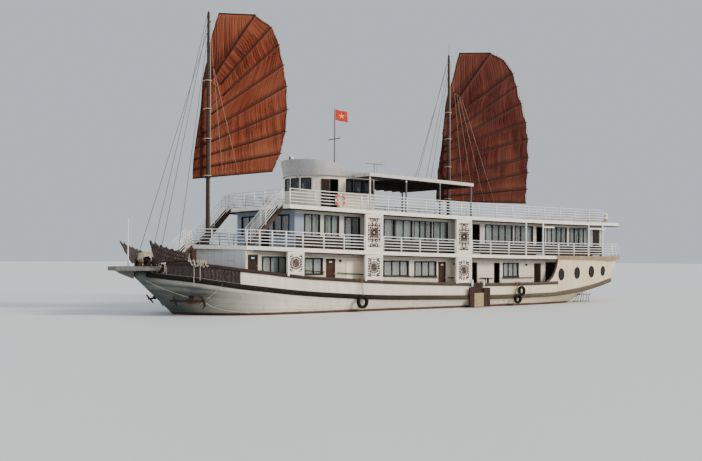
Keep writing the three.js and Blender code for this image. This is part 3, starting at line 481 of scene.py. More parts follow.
def bottom_finish(tree):
    weather = weathered(tree, 5.0, 1.5)
    colour = blend(tree, weather["Mottle"], (0.30, 0.07, 0.045), (0.20, 0.06, 0.045))
    colour = blend(tree, times(tree, weather["Streaks"], 0.5), colour, (0.16, 0.15, 0.10))
    return surface(tree, colour, 0.8, weather["Fine"], 0.4, 0.01)


BOTTOM_PAINT = finish_material("bottom_paint", bottom_finish)
keel = ([], [])
add_prism(keel, [(-12.0, -1.85), (12.4, -1.85), (12.75, -1.6), (12.7, -1.5), (-9.0, -1.5)], -0.14, 0.14)
add_prism(keel, [(-8.0, -1.85), (-15.35, -1.85), (-15.35, -1.72), (-13.3, -1.72), (-13.3, -0.3), (-9.0, -0.6)],
          -0.14, 0.14)
keel_timber = make_piece("keel_timber", *keel, BOTTOM_PAINT, smooth=False, slot="rudder_paint", round_off=0.02)
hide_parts("hull")


def dress(material, *names):
    """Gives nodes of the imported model, which stay in view, their finish."""
    for name in names:
        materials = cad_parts[name].data.materials
        materials.clear()
        materials.append(material)


dress(BOTTOM_PAINT, "rudder")


# Rubbing bands run along the main deck's edge, black forward and worn to grey-brown aft.
# Each is a heavy half-round timber bolted outside the planking.
def edge_half(x):
    return level_half(LEVELS[7], x)


def off_edge(x, out, z):
    slope = (edge_half(x + 0.01) - edge_half(x - 0.01)) / 0.02
    length = math.hypot(slope, 1.0)
    return (x - slope / length * out, edge_half(x) + out / length, z)


def add_edge_band(store, places, section):
    """Adds a bar along the hull's port edge; section(x) gives its corners as (out, height)."""
    vertices, faces = store
    first = len(vertices)
    rings = [[off_edge(x, out, z) for out, z in section(x)] for x in places]
    columns = len(rings[0])
    for ring in rings:
        vertices.extend(ring)
    faces += grid_faces(len(rings), columns, first, wrap=True)
    add_caps(faces, first, first + (len(rings) - 1) * columns, columns)


def timber_group():
    """Grain drawn out along the ship, with darker pores."""
    group, ins, outs = shader_group("timber", {"Scale": 3.0}, ("Grain", "Height"))
    drawn = shade(group, "ShaderNodeMapping", {"Vector": object_place(group), "Scale": (0.12, 1.0, 1.0)}).outputs[0]
    grain = shade(group, "ShaderNodeTexNoise", {
        "Vector": drawn, "Scale": ins["Scale"], "Detail": 8.0, "Roughness": 0.7, "Distortion": 0.4,
    }).outputs[0]
    return close_group(group, outs, band_mask(group, grain, 0.3, 0.7), grain)


TIMBER = timber_group()


def worn_timber(dark, pale, aft_dark=None, aft_pale=None, rough=0.75, fore=12.0, aft=-4.0, gloss=0.2):
    """Painted or bare timber whose two tones at the bow may go over to two others at the stern."""
    def build(tree):
        place = split(tree, object_place(tree))
        grain = grouped(tree, TIMBER, {"Scale": 14.0})
        weather = weathered(tree, 6.0, 1.2)
        bow = blend(tree, grain["Grain"], dark, pale)
        stern = blend(tree, grain["Grain"], aft_dark or dark, aft_pale or pale)
        back = band_mask(tree, place["X"], fore, aft)
        colour = blend(tree, back, bow, stern)
        wear = times(tree, weather["Streaks"], 0.35)
        colour = blend(tree, wear, colour, toned(pale, 1.7))
        return surface(tree, colour, rough, grain["Height"], 0.5, 0.01, gloss)
    return build


BAND_TIMBER = finish_material("band_timber", worn_timber(
    (0.008, 0.007, 0.006), (0.022, 0.018, 0.015), (0.075, 0.06, 0.045), (0.17, 0.135, 0.10), fore=6.0, aft=-12.0,
    gloss=0.06))
band_places = np.linspace(STERN_X + 0.02, 17.05, 130)
bands = ([], [])
add_edge_band(bands, band_places, lambda x: [
    (0.0, main_deck(x) - 0.29), (0.05, main_deck(x) - 0.28), (0.085, main_deck(x) - 0.2),
    (0.09, main_deck(x) - 0.12), (0.075, main_deck(x) - 0.04), (0.0, main_deck(x) - 0.01),
])
add_mirror(bands)
rub_bands = make_piece("rub_bands", *bands, BAND_TIMBER, slot="rubbing_timber")
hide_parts("rub_rail_port", "rub_rail_starboard")


# The bulwark is cream plank up to a brown cap rail; over its fore end lies a red-brown
# carved board that runs into the wings, its aft end cut in fish scales.
BULWARK_END_X = -12.31
bulwark_places = np.linspace(BULWARK_END_X, 16.4, 110)


def bulwark_finish(tree):
    place = split(tree, object_place(tree))
    weather = weathered(tree, 3.5, 0.6)
    cream = blend(tree, weather["Mottle"], (0.72, 0.66, 0.55), (0.82, 0.76, 0.65))
    cream = blend(tree, times(tree, weather["Streaks"], 0.4), cream, (0.45, 0.40, 0.31))
    joint = sums(tree, "LESS_THAN", sums(tree, "FRACT", sums(tree, "DIVIDE", place["X"], 2.4)), 0.008)
    cream = blend(tree, times(tree, joint, 0.5), cream, (0.3, 0.27, 0.22))
    warm = band_mask(tree, place["X"], -2.0, -13.0)
    cream = blend(tree, warm, cream, (1.0, 0.90, 0.74), "MULTIPLY")
    return surface(tree, cream, 0.55, weather["Fine"], 0.3, 0.006, 0.35)


BULWARK_PAINT = finish_material("bulwark_paint", bulwark_finish)
CAP_TIMBER = finish_material("cap_timber", worn_timber(
    (0.014, 0.009, 0.007), (0.05, 0.03, 0.022), (0.045, 0.03, 0.022), (0.12, 0.082, 0.06)))
plank_wall = ([], [])
add_edge_band(plank_wall, bulwark_places, lambda x: [
    (-0.04, main_deck(x)), (-0.04, bulwark_cap(x) - 0.1), (-0.16, bulwark_cap(x) - 0.1), (-0.16, main_deck(x)),
])
add_mirror(plank_wall)
make_piece("bulwark_planks", *plank_wall, BULWARK_PAINT, smooth=False, slot="hull_paint")
cap_rail = ([], [])
add_edge_band(cap_rail, bulwark_places, lambda x: [
    (0.0, bulwark_cap(x) - 0.12), (0.0, bulwark_cap(x) - 0.2), (0.03, bulwark_cap(x) - 0.19),
    (0.035, bulwark_cap(x) - 0.09), (0.03, bulwark_cap(x) - 0.02),
    (0.01, bulwark_cap(x)), (-0.2, bulwark_cap(x)), (-0.225, bulwark_cap(x) - 0.03),
    (-0.225, bulwark_cap(x) - 0.09), (-0.2, bulwark_cap(x) - 0.12),
])
add_mirror(cap_rail)
bulwark_caps = make_piece("bulwark_caps", *cap_rail, CAP_TIMBER, slot="rubbing_timber")
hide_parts("bulwark_port", "bulwark_starboard")


def carved_finish(dark, pale, scale):
    """Dark varnished timber cut in rolling relief, worn pale on its high places."""
    def build(tree):
        place = object_place(tree)
        waves = shade(tree, "ShaderNodeTexNoise", {
            "Vector": place, "Scale": scale, "Detail": 2.0, "Distortion": 2.2,
        }).outputs[0]
        rolls = shade(tree, "ShaderNodeTexWave", {
            "Vector": place, "Scale": scale * 0.8, "Distortion": 9.0, "Detail": 2.0, "Detail Scale": 1.2,
        }).outputs["Fac"]
        cutting = plus(tree, times(tree, waves, 0.6), times(tree, rolls, 0.5))
        grain = grouped(tree, TIMBER, {"Scale": 16.0})
        high = band_mask(tree, cutting, 0.45, 0.85)
        colour = blend(tree, high, dark, pale)
        colour = blend(tree, times(tree, grain["Grain"], 0.3), colour, toned(dark, 0.5))
        return surface(tree, colour, 0.6, cutting, 0.9, 0.05)
    return build


BOARD_CARVING = finish_material("board_carving", carved_finish((0.012, 0.007, 0.006), (0.045, 0.022, 0.018), 2.0))
WING_CARVING = finish_material("wing_carving", carved_finish((0.015, 0.009, 0.008), (0.065, 0.034, 0.024), 3.0))
carved_board = ([], [])
add_edge_band(carved_board, np.linspace(13.0, 16.38, 40), lambda x: [
    (-0.038, main_deck(x) + 0.01), (0.0, main_deck(x) + 0.03), (0.0, bulwark_cap(x) - 0.16),
    (-0.038, bulwark_cap(x) - 0.13),
])
for row in range(5):
    for i in range(9):
        x = 13.05 + i * 0.105 + (row % 2) * 0.05
        z = main_deck(x) + 0.08 + row * 0.115
        rim = [(0.055 * math.cos(a), 0.075 * math.sin(a)) for a in np.linspace(math.pi / 2, 3 * math.pi / 2, 7)]
        first = len(carved_board[0])
        add_prism(carved_board, rim, -0.01, 0.016)
        carved_board[0][first:] = [off_edge(x + dx, out, z + dz) for dx, out, dz in carved_board[0][first:]]
add_mirror(carved_board)
make_piece("bow_boards", *carved_board, BOARD_CARVING, smooth=False, slot="carved_timber")


# The bow ends in a flat platform of grey planks over the stem, between two tall carved
# wings with ragged crests; a white jackstaff stands on it.
STEM_GREY = finish_material("stem_grey", worn_timber(
    (0.10, 0.10, 0.09), (0.20, 0.19, 0.17), (0.10, 0.085, 0.07), (0.20, 0.17, 0.14), fore=14.0, aft=0.0))
platform = ([], [])
add_prism(platform, [(16.5, -1.2), (17.3, -1.2), (18.75, -0.5), (18.75, 0.5), (17.3, 1.2), (16.5, 1.2)],
          2.44, 2.67, "XY")
add_prism(platform, [(17.5, 2.0), (18.3, 2.3), (18.6, 2.5), (17.5, 2.5)], -0.12, 0.12)
add_prism(platform, [(16.55, 2.3), (17.2, 2.39), (17.2, 2.45), (16.55, 2.45)], -0.4, 0.4)
bow_deck = make_piece("bow_deck", *platform, STEM_GREY, smooth=False, slot="rubbing_timber", round_off=0.02)
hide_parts("bow_platform")


def wing_points(share, rise):
    """A place on the port wing: share runs forward from 0 to 1, rise from foot to crest."""
    feet = [(15.5, 2.5, 2.93), (16.3, 1.9, 2.93), (16.9, 1.48, 2.8)]
    heads = [(15.45, 2.5, 3.42), (16.5, 2.15, 3.74), (17.55, 1.95, 4.18)]
    at = share * 2
    i = min(int(at), 1)
    foot = Vector(feet[i]).lerp(Vector(feet[i + 1]), at - i)
    head = Vector(heads[i]).lerp(Vector(heads[i + 1]), at - i)
    return foot.lerp(head, rise)


WING_COLUMNS, WING_ROWS = 46, 14
wing_store = ([], [])
for face_side in (0, 1):
    for c in range(WING_COLUMNS):
        share = c / (WING_COLUMNS - 1)
        crest = 1.0 - 0.13 * abs(math.sin(share * 23.0)) - 0.05 * abs(math.sin(share * 57.0))
        for r in range(WING_ROWS):
            rise = r / (WING_ROWS - 1) * crest
            point = wing_points(share, rise)
            curl = 0.03 * math.sin(share * 19.0 + rise * 5.0) + 0.022 * math.sin(rise * 21.0 - share * 9.0)
            thick = 0.045 + (curl if face_side == 0 else 0.3 * curl)
            thick *= 0.35 if r in (0, WING_ROWS - 1) or c in (0, WING_COLUMNS - 1) else 1.0
            away = Vector((0.42, 0.9, 0.0)) * (thick if face_side == 0 else -thick)
            wing_store[0].append(tuple(point + away))
per_side = WING_COLUMNS * WING_ROWS
wing_store[1].extend(grid_faces(WING_COLUMNS, WING_ROWS))
wing_store[1].extend(grid_faces(WING_COLUMNS, WING_ROWS, per_side, flip=True))
rim = [c * WING_ROWS for c in range(WING_COLUMNS)]
rim += [(WING_COLUMNS - 1) * WING_ROWS + r for r in range(1, WING_ROWS)]
rim += [c * WING_ROWS + WING_ROWS - 1 for c in range(WING_COLUMNS - 2, -1, -1)]
rim += [r for r in range(WING_ROWS - 2, 0, -1)]
for a, b in zip(rim, rim[1:] + rim[:1]):
    wing_store[1].append((a, b, b + per_side, a + per_side))
add_mirror(wing_store)
bow_wings = make_piece("bow_wings", *wing_store, WING_CARVING, slot="carved_timber")
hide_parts("bow_wing_port", "bow_wing_starboard")


# The pilasters stand in the bulwark and carry the decks' edges; brown carved fretwork is
# planted on each cream face, a round medallion below and a pierced lattice above, whose piercings are thin dark
# plates of painted shade.
SHEER_X = 9.3
SLAB = 0.22


def middle_foot(x):
    return 3.5 - 0.0289 * (SHEER_X - x) + 0.00056 * (SHEER_X - x) ** 2


def middle_top(x):
    return middle_foot(x) + SLAB


def sun_foot(x):
    return 5.9 - 0.0274 * (SHEER_X - x) + 0.00056 * (SHEER_X - x) ** 2


def sun_top(x):
    return sun_foot(x) + SLAB


def plain_paint(colour, worn, rough=0.5, streaks=0.35, scale=4.0, gloss=0.5):
    """Brushed paint over timber: faint mottle, run-down grime and a fine brushed surface."""
    def build(tree):
        weather = weathered(tree, scale, 0.9)
        shown = blend(tree, weather["Mottle"], colour, toned(colour, 0.9))
        shown = blend(tree, times(tree, weather["Streaks"], streaks), shown, worn)
        return surface(tree, shown, rough, weather["Fine"], 0.25, 0.003, gloss)
    return build


PILASTER_PAINT = finish_material("pilaster_paint", plain_paint((0.90, 0.84, 0.73), (0.55, 0.46, 0.35)))
FRET_TIMBER = finish_material("fret_timber", worn_timber((0.038, 0.025, 0.02), (0.10, 0.07, 0.053)))
FRET_SHADOW = finish_material("fret_shadow", worn_timber((0.008, 0.006, 0.005), (0.03, 0.022, 0.018)))
PILASTERS = [
    # x0, x1, and whether it goes on up to the sun deck
    (9.0, 10.1, False),
    (3.34, 4.66, True),
    (-3.98, -2.65, True),
]
PILASTER_BACK, PILASTER_Y = 3.74, 3.895


def stores(count):
    """Empty lists of vertices and faces, a pair for each piece."""
    return [([], []) for _ in range(count)]


def add_ring(store, x, z, outer, inner, start=0.0, sweep=2 * math.pi, steps=14, y0=PILASTER_Y, depth=0.02):
    """Adds a flat ring, or part of one, cut from board and planted on the port face."""
    vertices, faces = store
    first = len(vertices)
    whole = sweep > 6.28
    for i in range(steps if whole else steps + 1):
        a = start + sweep * i / steps
        for radius, y in ((outer, y0 + depth), (inner, y0 + depth), (inner, y0 - 0.004), (outer, y0 - 0.004)):
            vertices.append((x + radius * math.cos(a), y, z + radius * math.sin(a)))
    count = steps if whole else steps + 1
    for i in range(steps):
        a, b = first + 4 * i, first + 4 * ((i + 1) % count)
        faces.extend((a + k, a + (k + 1) % 4, b + (k + 1) % 4, b + k) for k in range(4))
    if not whole:
        faces.append((first, first + 1, first + 2, first + 3))
        last = first + 4 * steps
        faces.append((last + 3, last + 2, last + 1, last))


def add_spot(store, x, z, reach, y0):
    """Adds a four-cornered opening, shown as a thin dark plate of painted shade, to a panel's face at y0."""
    add_prism(store, [(x - reach, z), (x, z - reach), (x + reach, z), (x, z + reach)], y0, y0 + 0.004)


def add_bar(store, x0, z0, x1, z1, width, y0=PILASTER_Y, depth=0.018):
    length = math.hypot(x1 - x0, z1 - z0)
    nx, nz = -(z1 - z0) / length * width / 2, (x1 - x0) / length * width / 2
    add_prism(store, [(x0 + nx, z0 + nz), (x1 + nx, z1 + nz), (x1 - nx, z1 - nz), (x0 - nx, z0 - nz)],
              y0 - 0.004, y0 + depth)


pilaster_store, fret_store, shadow_store = stores(3)
for x0, x1, tall in PILASTERS:
    storeys = [(lambda x: bulwark_cap(x) - 0.02, middle_foot, False)]
    if tall:
        storeys.append((middle_top, sun_foot, True))
    for low, high, lattice in storeys:
        foot, head = float(low(x1)), float(high(x0)) - 0.001
        add_box(pilaster_store, x0, x1, PILASTER_BACK, PILASTER_Y - 0.03, min(float(low(x0)), foot), head)
        for a, b in ((x0, x0 + 0.12), (x1 - 0.12, x1)):
            add_box(pilaster_store, a, b, PILASTER_Y - 0.05, PILASTER_Y, min(float(low(x0)), foot), head)
        for a, b in ((foot, foot + 0.12), (head - 0.14, head)):
            add_box(pilaster_store, x0 + 0.12, x1 - 0.12, PILASTER_Y - 0.05, PILASTER_Y - 0.002, a, b)
        mid, face = (x0 + x1) / 2, PILASTER_Y - 0.03
        if lattice:
            pitch, middle_z = 0.135, (foot + head) / 2
            rows = int((head - foot - 0.4) / pitch) // 2
            for r in range(-rows, rows + 1):
                for c in range(-3, 4):
                    x, z = mid + c * pitch, middle_z + r * pitch
                    if (r + c) % 2:
                        add_ring(fret_store, x, z, 0.058, 0.034, 0.0, 2 * math.pi, 10, face, 0.012)
                    elif math.hypot(x - mid, z - middle_z) > 0.3 and abs(abs(z - middle_z) - 0.6) > 0.1:
                        add_spot(shadow_store, x, z, 0.082, face + 0.001)
            add_ring(fret_store, mid, middle_z, 0.3, 0.24, y0=face, depth=0.03, steps=24)
            add_ring(fret_store, mid, middle_z, 0.2, 0.1, y0=face, depth=0.026, steps=24)
            for flower_z in (middle_z - 0.6, middle_z + 0.6):
                add_ring(fret_store, mid, flower_z, 0.17, 0.125, y0=face, depth=0.026, steps=20)
                for a in np.arange(0.785, 6.28, 1.571):
                    add_ring(fret_store, mid + 0.25 * math.cos(a), flower_z + 0.2 * math.sin(a), 0.1, 0.062,
                             a - 2.2, 4.4, 10, face, 0.024)
            for k in range(12):
                a = k * math.pi / 6
                add_bar(fret_store, mid + 0.06 * math.cos(a), middle_z + 0.06 * math.sin(a),
                        mid + 0.25 * math.cos(a), middle_z + 0.25 * math.sin(a), 0.035, face, 0.026)
        else:
            middle_z = (foot + head) / 2
            for outer, inner in ((0.36, 0.32), (0.22, 0.19), (0.09, 0.03)):
                add_ring(fret_store, mid, middle_z, outer, inner, y0=face, depth=0.028, steps=28)
            for k in range(16):
                a = k * math.pi / 8
                add_bar(fret_store, mid + 0.1 * math.cos(a), middle_z + 0.1 * math.sin(a),
                        mid + 0.33 * math.cos(a + 0.22), middle_z + 0.33 * math.sin(a + 0.22), 0.03, face, 0.024)
            for sx in (-1, 1):
                for sz in (-1, 1):
                    for dx, dz in ((0.34, 0.5), (0.2, 0.56), (0.38, 0.36), (0.06, 0.47), (0.3, 0.64), (0.12, 0.66),
                                   (0.4, 0.22), (0.41, 0.08), (0.23, 0.43), (0.41, 0.49), (0.4, 0.62), (0.02, 0.58),
                                   (0.22, 0.68)):
                        if dz < (head - foot) / 2 - 0.2:
                            add_spot(shadow_store, mid + sx * dx, middle_z + sz * dz, 0.06, face + 0.001)
                    for turn, radius in ((0.4, 0.1), (1.5, 0.07), (2.6, 0.05)):
                        add_ring(fret_store, mid + sx * (0.36 - 0.05 * turn), middle_z + sz * (0.28 + 0.09 * turn),
                                 radius, radius - 0.022, turn, 4.8, 10, face, 0.022)
add_mirror(pilaster_store, fret_store, shadow_store)
make_piece("pilaster_shadow", *shadow_store, FRET_SHADOW, smooth=False, slot="carved_timber")
make_piece("pilasters", *pilaster_store, PILASTER_PAINT, smooth=False, slot="hull_paint")
make_piece("pilaster_frets", *fret_store, FRET_TIMBER, smooth=False, slot="carved_timber")


# The stern house is a closed box of planks over the counter, painted like the bulwark, with
# a curved quarter on each side that closes the gallery.
STERN_HOUSE_X = -12.3
TAFFRAIL_X = -19.35
STERN_HALVES = [(0.0, 3.84), (0.31, 3.83), (0.6, 3.78), (0.82, 3.66), (1.0, 3.46)]


def stern_half(share):
    return float(np.interp(share, [r[0] for r in STERN_HALVES], [r[1] for r in STERN_HALVES]))


def stern_place(share, rise, out=0.0):
    """A place on the port side of the stern house, from its front aft and from its foot up."""
    low = STERN_HOUSE_X + (STERN_X - STERN_HOUSE_X) * share
    high = STERN_HOUSE_X + (TAFFRAIL_X + 0.1 - STERN_HOUSE_X) * share
    foot, head = main_deck(low) + 0.02, middle_foot(high) - 0.005
    return (low + (high - low) * rise, stern_half(share) + out, foot + (head - foot) * rise)


STERN_PAINT = finish_material("stern_paint", bulwark_finish)
stern_store = ([], [])
STERN_COLUMNS, STERN_ROWS = 28, 9
for side in (1, -1):
    for c in range(STERN_COLUMNS):
        for r in range(STERN_ROWS):
            x, y, z = stern_place(c / (STERN_COLUMNS - 1), r / (STERN_ROWS - 1))
            stern_store[0].append((x, side * y, z))
    stern_store[1].extend(grid_faces(STERN_COLUMNS, STERN_ROWS, 0 if side == 1 else STERN_COLUMNS * STERN_ROWS))
half = STERN_COLUMNS * STERN_ROWS
for c in range(STERN_COLUMNS - 1):
    for r in (0, STERN_ROWS - 1):
        a, b = c * STERN_ROWS + r, (c + 1) * STERN_ROWS + r
        stern_store[1].append((a, b, b + half, a + half))
for r in range(STERN_ROWS - 1):
    for c in (0, STERN_COLUMNS - 1):
        a, b = c * STERN_ROWS + r, c * STERN_ROWS + r + 1
        stern_store[1].append((a, b, b + half, a + half))
stern_skin = make_piece("stern_skin", *stern_store, STERN_PAINT, smooth=False, slot="hull_paint")
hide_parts("stern_house")

QUARTER_CURVE = [(-12.28, 1.0), (-12.24, 0.86), (-12.15, 0.66), (-11.98, 0.42), (-11.76, 0.22), (-11.5, 0.08),
                 (-11.2, 0.0)]
cap_at_quarter = bulwark_cap(-11.2)
quarter_points = [(x, cap_at_quarter + (middle_foot(-12.28) - 0.004 - cap_at_quarter) * rise)
                  for x, rise in QUARTER_CURVE]
quarter_store, trim_store = stores(2)
add_prism(quarter_store, quarter_points + [(-11.2, cap_at_quarter - 0.08), (-12.32, cap_at_quarter - 0.08),
                                           (-12.32, middle_foot(-12.28) - 0.004)], 3.74, 3.835)
for (xa, za), (xb, zb) in zip(quarter_points, quarter_points[1:]):
    add_bar(trim_store, xa, za, xb, zb, 0.13, 3.77, 0.085)
add_mirror(quarter_store, trim_store)
make_piece("stern_quarters", *quarter_store, STERN_PAINT, smooth=False, slot="hull_paint")
make_piece("quarter_trim", *trim_store, CAP_TIMBER, smooth=False, slot="rubbing_timber")


# The rails are white painted steel: slim posts every bay and five level bars between them,
# welded along the edges of both upper decks.
def grow(name, vertices, edges, tree, sizes, body="ship"):
    """Runs a geometry tree once over a bare path and keeps its result as a plain mesh."""
    mesh = bpy.data.meshes.new(name)
    mesh.from_pydata([tuple(map(float, v)) for v in vertices], edges, [])
    made = bpy.data.objects.new(name, mesh)
    bpy.context.scene.collection.objects.link(made)
    modifier = made.modifiers.new("grow", "NODES")
    modifier.node_group = tree
    for item in tree.interface.items_tree:
        if item.item_type == "SOCKET" and item.in_out == "INPUT" and item.name in sizes:
            modifier[item.identifier] = sizes[item.name]
    graph = bpy.context.evaluated_depsgraph_get()
    grown = bpy.data.meshes.new_from_object(made.evaluated_get(graph))
    made.modifiers.remove(modifier)
    made.data = grown
    grown.name = name
    bpy.data.meshes.remove(mesh)
    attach(made, body)
    return made


def geometry_tree(name, inputs):
    tree = bpy.data.node_groups.new(name, "GeometryNodeTree")
    tree.interface.new_socket(name="Geometry", in_out="INPUT", socket_type="NodeSocketGeometry")
    for label, kind, value in inputs:
        socket = tree.interface.new_socket(name=label, in_out="INPUT", socket_type=kind)
        if value is not None:
            socket.default_value = value
    tree.interface.new_socket(name="Geometry", in_out="OUTPUT", socket_type="NodeSocketGeometry")
    return tree, tree.nodes.new("NodeGroupInput"), tree.nodes.new("NodeGroupOutput")


def close_tree(tree, geometry, material_socket, out):
    real = shade(tree, "GeometryNodeRealizeInstances", {0: geometry})
    coated = shade(tree, "GeometryNodeSetMaterial", {"Geometry": real.outputs[0], "Material": material_socket})
    tree.links.new(coated.outputs[0], out.inputs[0])


def rail_tree():
    """A post on every point of the path and level bars along it."""
    tree, ins, out = geometry_tree("deck_rail", [
        ("Height", "NodeSocketFloat", 0.9), ("Bars", "NodeSocketInt", 5), ("Bar Radius", "NodeSocketFloat", 0.02),
        ("Post Radius", "NodeSocketFloat", 0.035), ("Finish", "NodeSocketMaterial", None),
    ])
    height, bars = ins.outputs["Height"], ins.outputs["Bars"]
    post = shade(tree, "GeometryNodeMeshCylinder", {
        "Vertices": 10, "Radius": ins.outputs["Post Radius"], "Depth": height,
    })
    lift = shade(tree, "ShaderNodeCombineXYZ", {"Z": times(tree, height, 0.5)})
    raised = shade(tree, "GeometryNodeTransform", {"Geometry": post.outputs[0], "Translation": lift.outputs[0]})
    posts = shade(tree, "GeometryNodeInstanceOnPoints", {
        "Points": ins.outputs["Geometry"], "Instance": raised.outputs[0],
    })
    line = shade(tree, "GeometryNodeMeshToCurve", {0: ins.outputs["Geometry"]})
    copies = shade(tree, "GeometryNodeDuplicateElements", {
        "Geometry": line.outputs[0], "Amount": bars,
    }, domain="SPLINE")
    number = plus(tree, copies.outputs["Duplicate Index"], 1.0)
    level = times(tree, sums(tree, "DIVIDE", number, bars), sums(tree, "SUBTRACT", height, 0.02))
    upward = shade(tree, "ShaderNodeCombineXYZ", {"Z": level})
    placed = shade(tree, "GeometryNodeSetPosition", {"Geometry": copies.outputs[0], "Offset": upward.outputs[0]})
    section = shade(tree, "GeometryNodeCurvePrimitiveCircle", {"Resolution": 8, "Radius": ins.outputs["Bar Radius"]})
    tubes = shade(tree, "GeometryNodeCurveToMesh", {
        "Curve": placed.outputs[0], "Profile Curve": section.outputs[0], "Fill Caps": True,
    })
    both = tree.nodes.new("GeometryNodeJoinGeometry")
    tree.links.new(posts.outputs[0], both.inputs[0])
    tree.links.new(tubes.outputs[0], both.inputs[0])
    smooth = shade(tree, "GeometryNodeSetShadeSmooth", {"Geometry": both.outputs[0]})
    close_tree(tree, smooth.outputs[0], ins.outputs["Finish"], out)
    return tree


RAIL_PAINT = finish_material("rail_paint", plain_paint((0.80, 0.81, 0.80), (0.45, 0.42, 0.36), 0.38, 0.3, 7.0))
DECK_RAIL = rail_tree()
RAIL_Y, RAIL_HEIGHT = 3.84, 0.9
BOW_RAIL = [(14.1, 0.58), (13.52, 1.46), (12.94, 2.35), (12.35, 3.24), (11.66, 3.45), (10.98, 3.66), (10.13, 3.75)]
MIDDLE_POSTS = [9.07, 7.63, 6.19, 4.69, 3.27, 1.87, 0.38, -1.09, -2.57, -4.06, -5.73, -7.42, -9.07, -10.76, -12.37,
                -13.98, -15.55, -17.1, -18.15]
SUN_POSTS = [9.94, 8.23, 6.6, 4.94, 4.46, 2.93, 1.44, -0.08, -1.58, -3.07, -4.06, -4.61, -6.2, -7.75, -9.3, -10.9,
             -12.5, -14.05, -15.6, -17.15]
STERN_RAIL = [(-18.25, 3.8), (-18.76, 3.7), (-19.28, 3.6), (-19.28, 2.16), (-19.28, 0.72)]
middle_side = [(x, y, middle_top(x)) for x, y in BOW_RAIL + [(x, RAIL_Y) for x in MIDDLE_POSTS]]
sun_side = [(x, RAIL_Y, sun_top(x)) for x in SUN_POSTS]
rail_paths = {
    "middle_rail_port": middle_side,
    "middle_rail_starboard": [(x, -y, z) for x, y, z in middle_side],
    "middle_rail_aft": [(x, y, middle_top(x)) for x, y in STERN_RAIL + [(x, -y) for x, y in STERN_RAIL[::-1]]],
    "sun_rail_port": sun_side,
    "sun_rail_starboard": [(x, -y, z) for x, y, z in sun_side],
    "sun_rail_front": [(9.94, y, sun_top(9.94)) for y in (-3.05, -2.3, -1.15, 0.0, 1.15, 2.3, 3.05)],
    "sun_rail_aft": [(-17.15, y, sun_top(-17.15)) for y in (-3.8, -2.5, -1.25, 0.0, 1.25, 2.5, 3.8)],
}
for rail_name, path in rail_paths.items():
    steel = grow(rail_name.replace("rail", "guard"), path, [(i, i + 1) for i in range(len(path) - 1)], DECK_RAIL,
                 {"Height": RAIL_HEIGHT, "Bars": 5, "Bar Radius": 0.026, "Post Radius": 0.044, "Finish": RAIL_PAINT})
    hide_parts(rail_name)


# The stairs have dark timber stringers and treads, with white steel rails of sloping bars
# up both sides of each flight.
STAIR_TIMBER = finish_material("stair_timber", worn_timber((0.035, 0.022, 0.017), (0.09, 0.055, 0.04)))


def add_tube(store, points, radius, sides=8, end=None):
    """Adds a round bar or rope along points; its radius may fall away to another at the end."""
    vertices, faces = store
    points = [Vector(p) for p in points]
    first, n = len(vertices), len(points)
    side = None
    for i, point in enumerate(points):
        ahead = (points[min(i + 1, n - 1)] - points[max(i - 1, 0)]).normalized()
        side = ahead.orthogonal() if side is None else side - ahead * side.dot(ahead)
        side.normalize()
        over = ahead.cross(side)
        size = radius + ((radius if end is None else end) - radius) * i / max(n - 1, 1)
        for k in range(sides):
            turn = 2 * math.pi * k / sides
            vertices.append(tuple(point + side * (size * math.cos(turn)) + over * (size * math.sin(turn))))
    faces += grid_faces(n, sides, first, wrap=True)
    add_caps(faces, first, first + (n - 1) * sides, sides)


def upright(x, y, *heights):
    return [(x, y, z) for z in heights]


def add_stair(timber, steel, x0, z0, x1, z1, y0, y1, treads):
    def along(x):
        return z0 + (z1 - z0) / (x1 - x0) * (x - x0)

    for y in (y0, y1 - 0.05):
        add_prism(timber, [(x0, along(x0) - 0.3), (x0, along(x0)), (x1, along(x1)), (x1 - 0.35, along(x1))], y,
                  y + 0.05)
        middle = y + 0.025
        for k in range(5):
            rise = 0.17 * (k + 1)
            add_tube(steel, [(x0 + 0.05, middle, along(x0 + 0.05) + rise),
                             (x1 - 0.12, middle, along(x1 - 0.12) + rise)],
                     0.022 if k == 4 else 0.016)
        for x in (x0 + 0.06, (x0 + x1) / 2, x1 - 0.12):
            add_tube(steel, upright(x, middle, along(x) - 0.1, along(x) + 0.87), 0.024)
    for i in range(1, treads + 1):
        x = x0 + (x1 - x0) * i / (treads + 1)
        add_box(timber, x - 0.14, x + 0.1, y0 + 0.02, y1 - 0.02, along(x) - 0.09, along(x) - 0.05)


for stair_name, place_of, nodes in (
    ("fore_steps", (14.2, middle_top(14.2), 16.0, main_deck(16.0), -0.5, 0.5, 6), ("fore_stair",)),
    ("sun_steps", (10.0, sun_top(10.0), 12.2, middle_top(12.2), 2.62, 3.2, 8),
     ("sun_stair_port", "sun_stair_starboard")),
):
    timber_store, steel_store = stores(2)
    add_stair(timber_store, steel_store, *place_of)
    if len(nodes) == 2:
        add_mirror(timber_store, steel_store)
    steps = make_piece(stair_name, *timber_store, STAIR_TIMBER, smooth=False, slot="carved_timber")
    make_piece(stair_name + "_rails", *steel_store, RAIL_PAINT, slot="rail_paint")
    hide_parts(*nodes)
